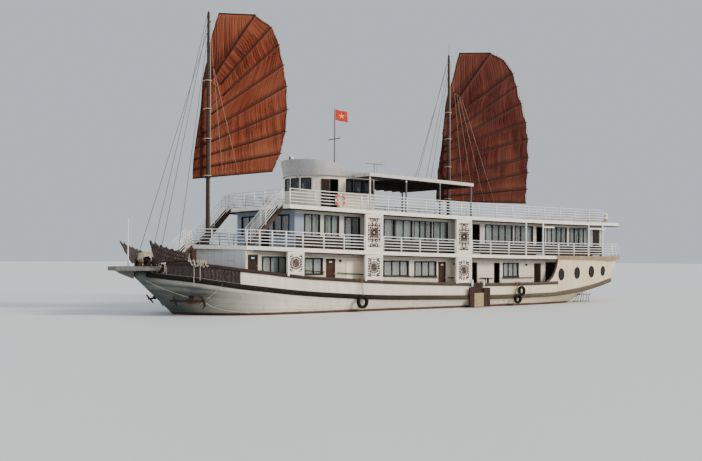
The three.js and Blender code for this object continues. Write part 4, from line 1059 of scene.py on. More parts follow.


# Both masts are single dark-stained poles, tapered and banded, each with the collar that stops
# its sail's lowest parrel; the main one carries a thin whip.
MAST_WOOD = finish_material("mast_wood", worn_timber((0.018, 0.012, 0.010), (0.05, 0.032, 0.024), rough=0.5))
MAST_TABLE = [
    # name, x, head, foot radius, head radius, top of the collar
    ("foremast", 13.0, 17.05, 0.13, 0.07, 7.77),
    ("mainmast", -5.5, 16.98, 0.13, 0.065, 7.18),
]
for mast_name, x, head, foot_radius, head_radius, collar in MAST_TABLE:
    pole = ([], [])
    foot = main_deck(x)
    steps = np.linspace(foot, head, 30)
    add_tube(pole, [(x, 0, z) for z in steps], foot_radius, 20, head_radius)
    add_tube(pole, upright(x, 0, collar - 0.12, collar - 0.1, collar - 0.03, collar - 0.002), 0.15, 20, 0.19)
    for z in (4.2, 9.9, 12.4, 14.9, head - 0.25):
        radius = foot_radius + (head_radius - foot_radius) * (z - foot) / (head - foot) + 0.009
        add_tube(pole, upright(x, 0, z - 0.05, z + 0.05), radius, 20)
    add_tube(pole, upright(x, 0, head, head + 0.05, head + 0.09), head_radius * 0.9, 16, 0.02)
    if mast_name == "mainmast":
        add_tube(pole, upright(x + 0.02, 0, head - 0.4, 17.66), 0.012, 8, 0.006)
    made = make_piece(mast_name + "_pole", *pole, MAST_WOOD, slot="mast_timber")
    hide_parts(mast_name)


# The sails are junk sails of tan-barked canvas, gathered in small pleats and stretched
# between a fan of bamboo battens, with a pale bolt rope down the leech.
SAIL_Y = -0.3
SAILS = {
    "fore": {
        "mast": 13.0,
        "luff": [(12.17, 17.2), (12.63, 15.65), (12.82, 14.57), (13.15, 13.35), (13.3, 11.64), (13.51, 10.31),
                 (13.73, 8.8), (13.8, 7.62)],
        "leech": [(9.78, 17.49), (8.61, 16.95), (8.08, 16.0), (7.75, 14.8), (7.5, 13.55), (7.46, 12.15),
                  (7.56, 10.8), (7.91, 9.46), (8.48, 8.32)],
        "battens": [((12.48, 13.49), (9.76, 17.46)), ((12.02, 13.15), (8.61, 16.93)), ((11.85, 12.54), (8.08, 15.94)),
                    ((12.63, 11.37), (7.75, 14.77)), ((13.51, 9.99), (7.54, 13.5)), ((13.62, 9.36), (7.48, 12.11)),
                    ((13.67, 8.71), (7.58, 10.77)), ((13.74, 8.14), (7.95, 9.42))],
        "parrels": [7.8, 9.9, 11.6, 13.2],
    },
    "main": {
        "mast": -5.5,
        "luff": [(-6.76, 17.38), (-6.25, 15.62), (-5.83, 14.65), (-5.47, 13.23), (-5.16, 10.76), (-4.9, 9.37),
                 (-4.65, 7.05)],
        "leech": [(-9.77, 17.8), (-11.24, 17.48), (-12.11, 16.6), (-12.5, 15.7), (-13.01, 14.5), (-13.5, 13.18),
                  (-13.72, 11.95), (-13.76, 10.59), (-13.7, 9.48), (-13.6, 8.26), (-13.54, 7.21)],
        "battens": [((-6.2, 13.61), (-9.77, 17.76)), ((-5.88, 12.65), (-12.11, 16.58)),
                    ((-5.47, 11.39), (-12.49, 15.67)),
                    ((-5.31, 10.77), (-12.99, 14.48)), ((-5.14, 10.37), (-13.47, 13.16)),
                    ((-5.03, 9.64), (-13.7, 11.95)),
                    ((-4.9, 8.45), (-13.72, 10.59)), ((-4.79, 7.8), (-13.68, 9.48)), ((-4.72, 7.35), (-13.6, 8.26))],
        "parrels": [7.21, 9.4, 11.3, 13.1],
    },
}


def even_points(points, count):
    """Points at even distances along a round curve through the given ones."""
    curve = through_points(points, 8)
    run = np.concatenate([[0.0], np.cumsum(np.linalg.norm(np.diff(curve, axis=0), axis=1))])
    at = np.linspace(0, run[-1], count)
    return np.stack([np.interp(at, run, curve[:, k]) for k in range(2)], axis=1)


def canvas_finish(deep, mid, pale, shadow_x):
    """Barked canvas: fine pleats across the panels, dark in their troughs as painted shade and pale on their ridges
    as painted highlights; a paler head; a painted highlight just below each batten and painted shade just above it;
    painted shade ahead of the mast.
    """
    def build(tree):
        uv = along_map(tree)
        place = object_place(tree)
        run = shade(tree, "ShaderNodeMapping", {"Vector": uv, "Scale": (9.0, 0.22, 1.0)}).outputs[0]
        folds = noise(tree, run, 1.0, 4.0, 0.6)
        broad = noise(tree, place, 0.3, 5.0)
        weave = noise(tree, place, 70.0, 2.0)
        down = split(tree, uv)["Y"]
        fore = split(tree, place)["X"]
        # painted light on the pleats: troughs take the deep tone as painted shade, ridges the pale one as painted
        # highlights
        colour = blend(tree, band_mask(tree, folds, 0.40, 0.56), deep, mid)
        fold_highlight = times(tree, band_mask(tree, folds, 0.56, 0.72), 0.5)
        colour = blend(tree, fold_highlight, colour, pale)
        faded = times(tree, band_mask(tree, broad, 0.42, 0.75), 0.55)
        colour = blend(tree, faded, colour, pale)
        head = times(tree, band_mask(tree, down, 1.6, 0.0), band_mask(tree, folds, 0.3, 0.75))
        colour = blend(tree, times(tree, head, 0.75), colour, pale)
        # painted light along each batten: a painted highlight just below it and painted shade just above it
        panel_share = sums(tree, "FRACT", down)
        highlight_below_batten = times(tree, band_mask(tree, panel_share, 0.14, 0.0), 0.4)
        colour = blend(tree, highlight_below_batten, colour, pale)
        shade_above_batten = times(tree, band_mask(tree, panel_share, 0.76, 1.0), 0.75)
        colour = blend(tree, shade_above_batten, colour, toned(deep, 0.45))
        # painted shade over the strip of cloth ahead of the mast
        shadow = times(tree, band_mask(tree, fore, shadow_x - 0.15, shadow_x + 0.2), 0.55)
        colour = blend(tree, shadow, colour, toned(deep, 0.35))
        colour = blend(tree, times(tree, weave, 0.3), colour, toned(mid, 0.55))
        height = plus(tree, folds, times(tree, weave, 0.05))
        return surface(tree, colour, 0.9, height, 1.0, 0.06, 0.12)
    return build


CANVAS = {
    "fore": finish_material("fore_canvas", canvas_finish(
        (0.055, 0.012, 0.007), (0.20, 0.042, 0.020), (0.36, 0.13, 0.07), 13.0)),
    "main": finish_material("main_canvas", canvas_finish(
        (0.024, 0.006, 0.005), (0.088, 0.018, 0.013), (0.22, 0.08, 0.05), -5.4)),
}
BATTEN_CANE = finish_material("batten_cane", worn_timber(
    (0.014, 0.005, 0.003), (0.04, 0.013, 0.008), (0.012, 0.005, 0.003), (0.03, 0.010, 0.007)))


def rope_finish(colour):
    def build(tree):
        place = object_place(tree)
        lay = shade(tree, "ShaderNodeTexWave", {
            "Vector": place, "Scale": 17.5, "Distortion": 1.5, "Detail": 1.0,
        }, bands_direction="DIAGONAL").outputs["Fac"]
        grime = noise(tree, place, 3.0, 5.0)
        # painted shade: the rope is darker in the grooves between the strands of its lay
        shown = blend(tree, lay, toned(colour, 0.65), colour)
        shown = blend(tree, times(tree, grime, 0.4), shown, toned(colour, 0.5))
        return surface(tree, shown, 0.9, lay, 0.6, 0.006)
    return build


PALE_ROPE = finish_material("pale_rope", rope_finish((0.62, 0.56, 0.45)))
TAN_ROPE = finish_material("tan_rope", rope_finish((0.27, 0.17, 0.09)))
LACE_TWINE = finish_material("lace_twine", rope_finish((0.11, 0.032, 0.02)))
SAIL_ROPE = finish_material("sail_rope", rope_finish((0.52, 0.36, 0.26)))
SAIL_COLUMNS, SAIL_ROWS = 190, 84
BELLY, FOLD_DEPTH, FOLD_PITCH = 0.10, 0.032, 0.21
PARREL_REACH = 0.19
for sail_name, sail in SAILS.items():
    body, mast_x = sail_name + "_sail", sail["mast"]
    luff, leech = even_points(sail["luff"], SAIL_ROWS), even_points(sail["leech"], SAIL_ROWS)
    share = np.linspace(0, 1, SAIL_COLUMNS)[None, :, None]
    flat = luff[:, None, :] * (1 - share) + leech[:, None, :] * share
    lines = [(luff[0], leech[0])] + [tuple(map(np.array, pair)) for pair in sail["battens"]] + [(luff[-1], leech[-1])]
    above, along = [], []
    for start, end in lines:
        unit = (end - start) / np.linalg.norm(end - start)
        relative = flat - start
        along.append(relative @ unit)
        above.append(relative[..., 0] * unit[1] - relative[..., 1] * unit[0])
    above, along = np.array(above), np.array(along)
    panel = np.clip((above < 0).sum(axis=0) - 1, 0, len(lines) - 2)[None]
    near, far = (np.take_along_axis(np.abs(above), panel + k, 0)[0] for k in (0, 1))
    part = near / np.maximum(near + far, 1e-6)
    run, run_next = (np.take_along_axis(along, panel + k, 0)[0] for k in (0, 1))
    panel = panel[0]
    run = np.where(panel == 0, -flat[..., 0], (1 - part) * run + part * run_next)
    room = np.minimum(near, far)
    belly = BELLY * (1 - np.exp(-(room / 0.3) ** 2))
    lean = run + 0.2 * part + 0.06 * np.sin(7.0 * part + 1.7 * panel)
    fold = np.sin(lean * 2 * np.pi / FOLD_PITCH + 1.3 * np.sin(lean * 2.1 + panel)) * np.minimum(1, room / 0.2)
    fold *= 0.55 + 0.45 * np.sin(lean * 1.9 + 2.0 * panel)
    depth = SAIL_Y - belly + FOLD_DEPTH * fold
    vertices = np.stack([flat[..., 0], depth, flat[..., 1]], axis=2).reshape(-1, 3)
    uv = np.stack([run, part + panel], axis=2).reshape(-1, 2)
    cloth = make_piece(body + "_cloth", vertices, grid_faces(SAIL_ROWS, SAIL_COLUMNS), CANVAS[sail_name],
                       body=body, uv=uv, slot={"fore": "orange_canvas", "main": "red_canvas"}[sail_name])
    cane, lacing, rope = stores(3)
    for (xa, za), (xb, zb) in sail["battens"]:
        points = [(xa + (xb - xa) * k, SAIL_Y + 0.045, za + (zb - za) * k) for k in np.linspace(-0.005, 1.012, 12)]
        add_tube(cane, points, 0.042, 10, 0.03)
        add_tube(lacing, [(x, SAIL_Y + 0.08, z + 0.05) for x, _, z in points[1:-1]], 0.014, 6)
    for edge, size in ((luff[::3], 0.024), (luff[:1].tolist() + leech[:1].tolist(), 0.04),
                       (luff[-1:].tolist() + leech[-1:].tolist(), 0.034)):
        add_tube(cane, [(x, SAIL_Y, z) for x, z in edge], size, 8)
    add_tube(rope, [(x, SAIL_Y, z) for x, z in leech[::3]], 0.026, 8)
    for z in sail["parrels"]:
        back = [(mast_x + PARREL_REACH * math.cos(a), PARREL_REACH * math.sin(a), z + 0.01 * math.sin(3 * a))
                for a in np.linspace(math.pi + 0.4, -0.4, 15)]
        ends = [(mast_x + k * PARREL_REACH, SAIL_Y, z) for k in (-1, 1)]
        add_tube(rope, [ends[0], *back, ends[1]], 0.022, 8)
    canes = make_piece(body + "_battens", *cane, BATTEN_CANE, body=body, slot="mast_timber")
    laces = make_piece(body + "_lacing", *lacing, LACE_TWINE, body=body, slot="mast_timber")
    ropes = make_piece(body + "_ropes", *rope, PALE_ROPE, body=body, slot="mast_timber")
    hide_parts(body)


# The wheelhouse roof is a light slab with a broad brow that leans out as it rises, plated in
# sheet whose grey-white is painted down to pale grey as painted shade.
ROOF_SHADED_PAINT = finish_material("roof_shaded_paint", plain_paint((0.47, 0.47, 0.47), (0.30, 0.28, 0.25), 0.4, 0.45, 3.0))
BRIDGE_X = 5.9
brow_turns = np.linspace(-math.pi / 2, math.pi / 2, 37)


def brow_ring(bow, half, height):
    ring = [(BRIDGE_X + bow * math.cos(a), half * math.sin(a)) for a in brow_turns]
    ring = [(2.2, -half), (3.4, -half), (4.6, -half), (5.3, -half)] + ring + \
        [(5.3, half), (4.6, half), (3.4, half), (2.2, half)]
    return [(x, y, height(x)) for x, y in ring]


def brow_top(x):
    return float(np.interp(x, [2.2, 4.4, 4.6, 5.4, 6.4, 7.65], [8.3, 8.42, 8.46, 8.85, 8.98, 9.05]))


roof_rings = [
    brow_ring(1.5, 1.9, lambda x: 8.07),
    brow_ring(1.55, 1.94, lambda x: 8.1),
    brow_ring(1.66, 2.0, lambda x: 8.1 + (brow_top(x) - 8.1) * 0.5),
    brow_ring(1.75, 2.05, lambda x: brow_top(x) - 0.03),
    brow_ring(1.75, 2.05, brow_top),
    brow_ring(1.69, 1.99, brow_top),
    brow_ring(1.64, 1.94, lambda x: min(8.3, brow_top(x) - 0.02)),
]
roof_store = ([], [])
for ring in roof_rings:
    roof_store[0].extend(ring)
ring_size = len(roof_rings[0])
roof_store[1].extend(grid_faces(len(roof_rings), ring_size, 0, wrap=True))
add_caps(roof_store[1], 0, ring_size * (len(roof_rings) - 1), ring_size)
bridge_roof = make_piece("bridge_roof", *roof_store, ROOF_SHADED_PAINT, smooth=True, slot="house_paint")
edge_split = bridge_roof.modifiers.new("edges", "EDGE_SPLIT")
edge_split.split_angle = math.radians(35)
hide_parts("wheelhouse_roof")


# The upper gallery's roof is carried aft by square posts of white timber in the rail line
# with short headers between them; a jackstaff of turned timber stands at the bow.
def add_run(store, x0, x1, foot, low, high, y0, y1):
    """Adds a board on edge that follows a deck's sheer along the port side."""
    places = np.linspace(x0, x1, max(2, round(abs(x1 - x0) / 1.2) + 1))
    for xa, xb in zip(places, places[1:]):
        add_prism(store, [(xa, foot(xa) + low), (xb, foot(xb) + low), (xb, foot(xb) + high), (xa, foot(xa) + high)],
                  y0, y1)


JACKSTAFF_X = 17.8
white_posts = ([], [])
for x in (-9.07, -10.76, -15.55, -17.1):
    add_box(white_posts, x - 0.045, x + 0.045, 3.8, 3.89, middle_top(x) + 0.002, sun_foot(x) - 0.002)
for fore, aft in ((-10.8, -11.9), (-15.5, -17.5)):
    add_run(white_posts, fore, aft, sun_foot, -0.3, -0.2, 3.81, 3.88)
add_mirror(white_posts)
add_tube(white_posts, upright(JACKSTAFF_X, 0, 2.66, 3.2, 4.4, 5.24), 0.045, 14, 0.026)
add_tube(white_posts, upright(JACKSTAFF_X, 0, 2.66, 2.74), 0.08, 14)
add_tube(white_posts, upright(JACKSTAFF_X, 0, 5.22, 5.25, 5.28), 0.04, 14, 0.012)
make_piece("white_posts", *white_posts, RAIL_PAINT, smooth=False, slot="rail_paint", round_off=0.006)


# Both deck slabs are planked above and painted white along their edges; below they are sheathed
# in boards painted dark as painted shade, and they rest on the houses and the pilasters.
def slab_finish(top_dark, top_pale, edge, under, post=None):
    def build(tree):
        place = split(tree, object_place(tree))
        facing = split(tree, shade(tree, "ShaderNodeNewGeometry").outputs["Normal"])
        weather = weathered(tree, 5.0, 0.7)
        planks = planked(tree, times(tree, place["Y"], 7.0), place["X"], 0.07, 4.0)
        boards = blend(tree, planks["Tone"], top_dark, top_pale)
        boards = blend(tree, planks["Seam"], boards, toned(top_dark, 0.3))
        white = blend(tree, times(tree, weather["Streaks"], 0.4), edge, toned(edge, 0.6))
        # painted shade: the underside is given a dark tone for the shade beneath the deck
        shaded_underside = blend(tree, planks["Tone"], toned(under, 0.8), under)
        shaded_underside = blend(tree, planks["Seam"], shaded_underside, toned(under, 0.4))
        colour = blend(tree, band_mask(tree, facing["Z"], 0.4, 0.6), white, boards)
        colour = blend(tree, band_mask(tree, facing["Z"], -0.4, -0.6), colour, shaded_underside)
        if post:
            posts = times(tree, band_mask(tree, place["Z"], 7.82, 7.79), band_mask(tree, place["X"], 3.0, 2.9))
            colour = blend(tree, posts, colour, post)
        level = sums(tree, "ABSOLUTE", facing["Z"])
        height = plus(tree, times(tree, planks["Height"], level), times(tree, weather["Fine"], 0.2))
        return surface(tree, colour, 0.6, height, 0.5, 0.005)
    return build


SLAB_PAINT = finish_material("slab_paint", slab_finish(
    (0.20, 0.14, 0.10), (0.30, 0.22, 0.16), (0.90, 0.85, 0.75), (0.10, 0.075, 0.055)))
dress(SLAB_PAINT, "middle_deck", "sun_deck")


# Beads of dark timber run under both decks' edges, nailed to the slabs just inside their
# pale edges: they stand in as painted shadow lines beneath the fascias.
SHADE_TIMBER = finish_material("shade_timber", worn_timber(
    (0.020, 0.013, 0.009), (0.05, 0.033, 0.024), (0.03, 0.02, 0.014), (0.06, 0.04, 0.03)))
shade_beads = ([], [])
add_run(shade_beads, 12.2, -12.1, middle_foot, -0.075, -0.003, 3.74, 3.83)
add_run(shade_beads, 9.9, -19.0, sun_foot, -0.075, -0.003, 3.70, 3.79)
add_mirror(shade_beads)
make_piece("deck_shade_beads", *shade_beads, SHADE_TIMBER, smooth=False, slot="rubbing_timber")


# Both houses are boarded walls of painted tongued timber, cream along the sides; their faces towards
# the bow are painted grey and blue-grey as painted shade. A cornice runs under each deck, and a dark band along the
# foot of the upper gallery's walls.
def boarded_paint(colour, worn, shade_colour=None, shade_limits=(0.0, 0.1)):
    def build(tree):
        place = split(tree, object_place(tree))
        weather = weathered(tree, 5.0, 0.6)
        planks = planked(tree, times(tree, plus(tree, place["X"], place["Y"]), 6.0), place["Z"], 0.06, 9.0)
        shown = blend(tree, weather["Mottle"], colour, toned(colour, 0.86))
        # painted shade: the wall's forward end takes the blue-grey of a face in shade
        if shade_colour:
            shown = blend(tree, band_mask(tree, place["X"], *shade_limits), shown, shade_colour)
        shown = blend(tree, times(tree, weather["Streaks"], 0.45), shown, worn)
        shown = blend(tree, times(tree, planks["Tone"], 0.12), shown, worn)
        shown = blend(tree, times(tree, planks["Seam"], 0.5), shown, toned(worn, 0.4))
        height = plus(tree, planks["Height"], times(tree, weather["Fine"], 0.2))
        return surface(tree, shown, 0.5, height, 0.4, 0.006)
    return build


CREAM_WALL = finish_material("cream_wall", boarded_paint((0.78, 0.71, 0.59), (0.46, 0.38, 0.28)))
# painted shade: the faces towards the bow are painted grey and slate blue for the shade they lie in
FRONT_SHADE_WALL = finish_material("front_shade_wall", boarded_paint((0.62, 0.62, 0.61), (0.40, 0.38, 0.36)))
UPPER_WALL = finish_material("upper_wall", boarded_paint(
    (0.60, 0.58, 0.52), (0.34, 0.30, 0.25), (0.26, 0.32, 0.42), (8.42, 8.5)))
UPPER_FRONT_SHADE_WALL = finish_material("upper_front_shade_wall", boarded_paint((0.26, 0.32, 0.42), (0.2, 0.2, 0.2)))
dress(CREAM_WALL, "lower_wall_port", "lower_wall_starboard", "wheelhouse_wall_front", "wheelhouse_wall_port",
      "wheelhouse_wall_starboard", "wheelhouse_wall_aft")
dress(FRONT_SHADE_WALL, "lower_wall_front")
dress(UPPER_WALL, "middle_wall_port", "middle_wall_starboard", "middle_wall_aft")
dress(UPPER_FRONT_SHADE_WALL, "middle_wall_front")
CORNICE_PAINT = finish_material("cornice_paint", plain_paint((0.46, 0.40, 0.33), (0.28, 0.23, 0.18), 0.6, 0.5, 5.0))
WALL_Y = 3.2
cornices = ([], [])
add_run(cornices, 12.3, -12.1, middle_foot, -0.23, -0.004, WALL_Y, WALL_Y + 0.035)
add_run(cornices, 9.15, -17.85, sun_foot, -0.2, -0.004, WALL_Y, WALL_Y + 0.035)
add_mirror(cornices)
make_piece("cornices", *cornices, CORNICE_PAINT, smooth=False, slot="house_paint")
MIDDLE_DOORWAYS = [(5.65, 4.61), (-4.7, -5.4), (-10.8, -11.7), (-16.8, -17.6)]
# A dark band of board runs along the foot of the upper gallery's walls, below the windows.
dark_wall_foot = ([], [])
starts = [9.15] + [aft for _, aft in MIDDLE_DOORWAYS]
ends = [fore for fore, _ in MIDDLE_DOORWAYS] + [-17.85]
for x0, x1 in zip(starts, ends):
    add_run(dark_wall_foot, x0 - 0.02, x1 + 0.02, middle_top, 0.01, 0.7, WALL_Y, WALL_Y + 0.022)
add_mirror(dark_wall_foot)
make_piece("gallery_dark_foot", *dark_wall_foot, SHADE_TIMBER, smooth=False, slot="carved_timber")


# Windows are dark glass in brown timber frames let into the walls, each behind a gathered
# curtain of pale cotton on a rod; partitions of dark board inside close the view through, as painted shade for the
# dim cabins.
def cotton_finish(tree):
    place = object_place(tree)
    weave = noise(tree, place, 90.0, 2.0)
    stain = noise(tree, place, 0.8, 4.0)
    colour = blend(tree, band_mask(tree, stain, 0.35, 0.7), (0.84, 0.83, 0.77), (0.66, 0.67, 0.66))
    return surface(tree, colour, 0.9, weave, 0.3, 0.002)


def glass_finish_of(clear, dusty):
    def build(tree):
        weather = weathered(tree, 7.0, 1.3)
        dull = times(tree, weather["Streaks"], 0.25)
        bump = shade(tree, "ShaderNodeBump", {"Height": weather["Mottle"], "Strength": 0.05, "Distance": 0.01})
        return shade(tree, "ShaderNodeBsdfPrincipled", {
            "Base Color": blend(tree, dull, clear, dusty), "Roughness": 0.06, "Metallic": 0.0,
            "Transmission Weight": 0.85, "IOR": 1.45, "Normal": bump.outputs[0],
        })
    return build


DARK_GLASS = finish_material("dark_glass", glass_finish_of((0.68, 0.74, 0.73), (0.64, 0.64, 0.58)))
BRIDGE_GLASS = finish_material("bridge_glass", glass_finish_of((0.12, 0.15, 0.16), (0.17, 0.17, 0.16)))
COTTON = finish_material("cotton", cotton_finish)
FRAME_TIMBER = finish_material("frame_timber", worn_timber((0.008, 0.005, 0.004), (0.028, 0.017, 0.013)))
ROD_Y = WALL_Y - 0.19
LOWER_WINDOWS = [
    # x at the fore and aft sides, panes, and the share that its curtain covers
    (11.3, 9.74, 3, 1.0), (8.49, 7.3, 2, 1.0), (2.7, 0.79, 3, 1.0), (0.22, -1.5, 3, 0.9), (-7.6, -9.0, 3, 1.0),
]
UPPER_WINDOWS = [
    (8.5, 7.5, 2, 0.8), (7.1, 6.15, 2, 0.6), (2.7, 1.95, 1, 0.9), (1.85, 0.5, 2, 0.8), (0.3, -1.1, 3, 0.4),
    (-1.3, -2.47, 2, 0.5), (-5.9, -8.4, 4, 0.35), (-8.7, -10.4, 3, 0.3), (-11.9, -13.9, 4, 0.5),
    (-14.3, -16.3, 4, 0.3),
]


def add_window(frames, panes, x0, x1, low, high, count, y0=WALL_Y):
    """Adds a framed window in the port wall whose outer face is at y0, in count panes."""
    for a, b, c, d in ((x0 - 0.06, x0 + 0.02, low, high), (x1 - 0.02, x1 + 0.06, low, high)):
        add_box(frames, a, b, y0 + 0.001, y0 + 0.03, c, d)
    add_box(frames, x0 - 0.06, x1 + 0.06, y0 + 0.001, y0 + 0.03, high - 0.02, high + 0.05)
    add_box(frames, x0 - 0.09, x1 + 0.09, y0 + 0.001, y0 + 0.06, low - 0.06, low + 0.02)
    for i in range(1, count):
        x = x0 + (x1 - x0) * i / count
        add_box(frames, x - 0.03, x + 0.03, y0 - 0.05, y0 + 0.012, low, high)
    for x in (x0 + 0.02, x1 - 0.02):
        add_box(frames, x - 0.018, x + 0.018, y0 - 0.05, y0 + 0.001, low + 0.02, high - 0.02)
    add_box(panes, x0 + 0.002, x1 - 0.002, y0 - 0.046, y0 - 0.04, low + 0.002, high - 0.002)


def hang_curtain(name, x0, x1, low, high, turn):
    """Hangs one gathered curtain inside the wall on the side that turn gives."""
    columns, rows = max(12, round(abs(x1 - x0) / 0.012)), 7
    across, down = np.meshgrid(np.linspace(x0, x1, columns), np.linspace(0, 1, rows))
    waves = np.sin(across * 62.0 + 1.4 * np.sin(across * 9.0)) * (0.016 + 0.007 * down)
    y = turn * (ROD_Y + waves)
    z = high - down * (high - low - 0.03) - 0.02
    points = np.stack([across, y, z], axis=2).reshape(-1, 3)
    cloth = make_piece(name, points, grid_faces(rows, columns), COTTON, slot="house_paint")


frames, panes, rods = stores(3)
curtains = []
for deck_name, windows in (("lower", LOWER_WINDOWS), ("upper", UPPER_WINDOWS)):
    for number, (fore, aft, count, cover) in enumerate(windows, 1):
        low, high = (middle_foot(aft) - 1.2, middle_foot(aft) - 0.33) if deck_name == "lower" else \
            (middle_top(fore) + 0.75, sun_foot(aft) - 0.22)
        add_window(frames, panes, aft, fore, low, high, count)
        add_tube(rods, [(aft - 0.05, ROD_Y, high - 0.012), (fore + 0.05, ROD_Y, high - 0.012)], 0.012)
        start = fore if number % 2 else aft + (fore - aft) * cover
        end = start + (aft - fore) * cover
        curtains.append((f"{deck_name}_curtain_{number}", start - 0.02, end + 0.02, low, high))
fore, aft = MIDDLE_DOORWAYS[0]
add_window(frames, panes, aft, fore, middle_top(fore) + 0.12, sun_foot(aft) - 0.24, 2)
add_mirror(frames, panes, rods)
curtain_rods = make_piece("curtain_rods", *rods, RAIL_PAINT, slot="rail_paint")
make_piece("window_frames", *frames, FRAME_TIMBER, smooth=False, slot="carved_timber", round_off=0.004)
make_piece("window_glass", *panes, DARK_GLASS, smooth=False, slot="blue_white_paint")
for name, x0, x1, low, high in curtains:
    for side, turn in (("port", 1), ("starboard", -1)):
        hang_curtain(f"{name}_{side}", x0, x1, low, high, turn)
# dark partitions inside the houses: painted shade for the dim cabins seen through the windows
shade_partitions = ([], [])
add_run(shade_partitions, 11.9, -12.0, middle_foot, -2.0, -0.01, 1.5, 1.54)
add_run(shade_partitions, 8.9, -17.6, sun_foot, -2.1, -0.01, 1.5, 1.54)
add_mirror(shade_partitions)
make_piece("cabin_shade_partitions", *shade_partitions, SHADE_TIMBER, smooth=False, slot="carved_timber")


# The wheelhouse has dark windows in narrow frames round its bowed front and along its sides;
# cream boards close the front's outermost places, and a dark bulkhead stands behind the helm.
def add_turned_box(store, centre, turn, depth, width, height):
    """Adds an upright box whose depth lies in the direction of turn."""
    cosine, sine = math.cos(turn), math.sin(turn)
    corners = [(-depth / 2, -width / 2), (depth / 2, -width / 2), (depth / 2, width / 2), (-depth / 2, width / 2)]
    outline = [(centre[0] + a * cosine - b * sine, centre[1] + a * sine + b * cosine) for a, b in corners]
    add_prism(store, outline, centre[2] - height / 2, centre[2] + height / 2, "XY")


BRIDGE_BOW, BRIDGE_HALF = 1.5, 1.8


def bridge_place(degrees):
    """A place on the bowed front, as x, y and the way that it faces."""
    t = math.radians(degrees)
    return (BRIDGE_X + BRIDGE_BOW * math.cos(t), BRIDGE_HALF * math.sin(t),
            math.atan2(BRIDGE_BOW * math.sin(t), BRIDGE_HALF * math.cos(t)))


bridge_frames, bridge_panes, bridge_inside = stores(3)
for fore, aft in ((4.5, 4.06), (3.9, 3.3), (3.15, 2.55)):
    add_window(bridge_frames, bridge_panes, aft, fore, 7.2, 7.92, 1, BRIDGE_HALF)
add_mirror(bridge_frames, bridge_panes)
bridge_boards = ([], [])
for degrees in (-66, -40, -13, 13, 40, 66):
    x, y, turn = bridge_place(degrees)
    normal, tangent = Vector((math.cos(turn), math.sin(turn), 0)), Vector((-math.sin(turn), math.cos(turn), 0))
    middle = Vector((x, y, 7.57)) - normal * 0.05
    if abs(degrees) > 60:
        add_turned_box(bridge_boards, middle, turn, 0.05, 0.66, 0.76)
        continue
    add_turned_box(bridge_panes, middle, turn, 0.008, 0.6, 0.7)
    for k in (-1, 1):
        add_turned_box(bridge_frames, middle + tangent * (0.3 * k), turn, 0.09, 0.05, 0.72)
        add_turned_box(bridge_frames, middle + Vector((0, 0, 0.345 * k)), turn, 0.09, 0.62, 0.05)
add_box(bridge_inside, 3.6, 3.66, -1.7, 1.7, sun_top(3.6) + 0.02, 8.04)
add_box(bridge_inside, 2.5, 3.6, -0.03, 0.03, sun_top(3.6) + 0.02, 8.04)
add_box(bridge_inside, 5.9, 6.5, -0.9, 0.9, sun_top(6.5) + 0.02, 7.0)
for k in (-1, 1):
    x, y, turn = bridge_place(81)
    add_turned_box(bridge_frames, (x, k * y, 7.0), k * turn, 0.03, 0.42, 1.76)
    low_y, high_y = sorted((k * BRIDGE_HALF, k * (BRIDGE_HALF + 0.015)))
    add_box(bridge_frames, 5.765, 5.92, low_y, high_y, 6.12, 7.88)
make_piece("bridge_frames", *bridge_frames, FRAME_TIMBER, smooth=False, slot="carved_timber", round_off=0.004)
make_piece("bridge_glass", *bridge_panes, BRIDGE_GLASS, smooth=False, slot="house_paint")
make_piece("bridge_boards", *bridge_boards, CREAM_WALL, smooth=False, slot="house_paint", round_off=0.004)
make_piece("bridge_bulkhead", *bridge_inside, SHADE_TIMBER, smooth=False, slot="carved_timber")


# The awning is a flat boarded roof with pale edges and an underside painted near black as painted
# shade; cross bearers of timber are nailed under it, and its own posts carry it.
AWNING_PAINT = finish_material("awning_paint", slab_finish(
    (0.30, 0.27, 0.23), (0.40, 0.37, 0.32), (0.62, 0.57, 0.50), (0.022, 0.021, 0.022),
    (0.085, 0.09, 0.10)))
dress(AWNING_PAINT, "awning")
bearers = ([], [])
for x in np.arange(-4.15, 2.0, 0.72):
    under = 8.01 + 0.23 * (x + 4.4) / 8.54 - 0.2
    add_box(bearers, x - 0.03, x + 0.03, -3.5, 3.5, under - 0.08, under - 0.002)
make_piece("awning_bearers", *bearers, SHADE_TIMBER, smooth=False, slot="mast_timber")


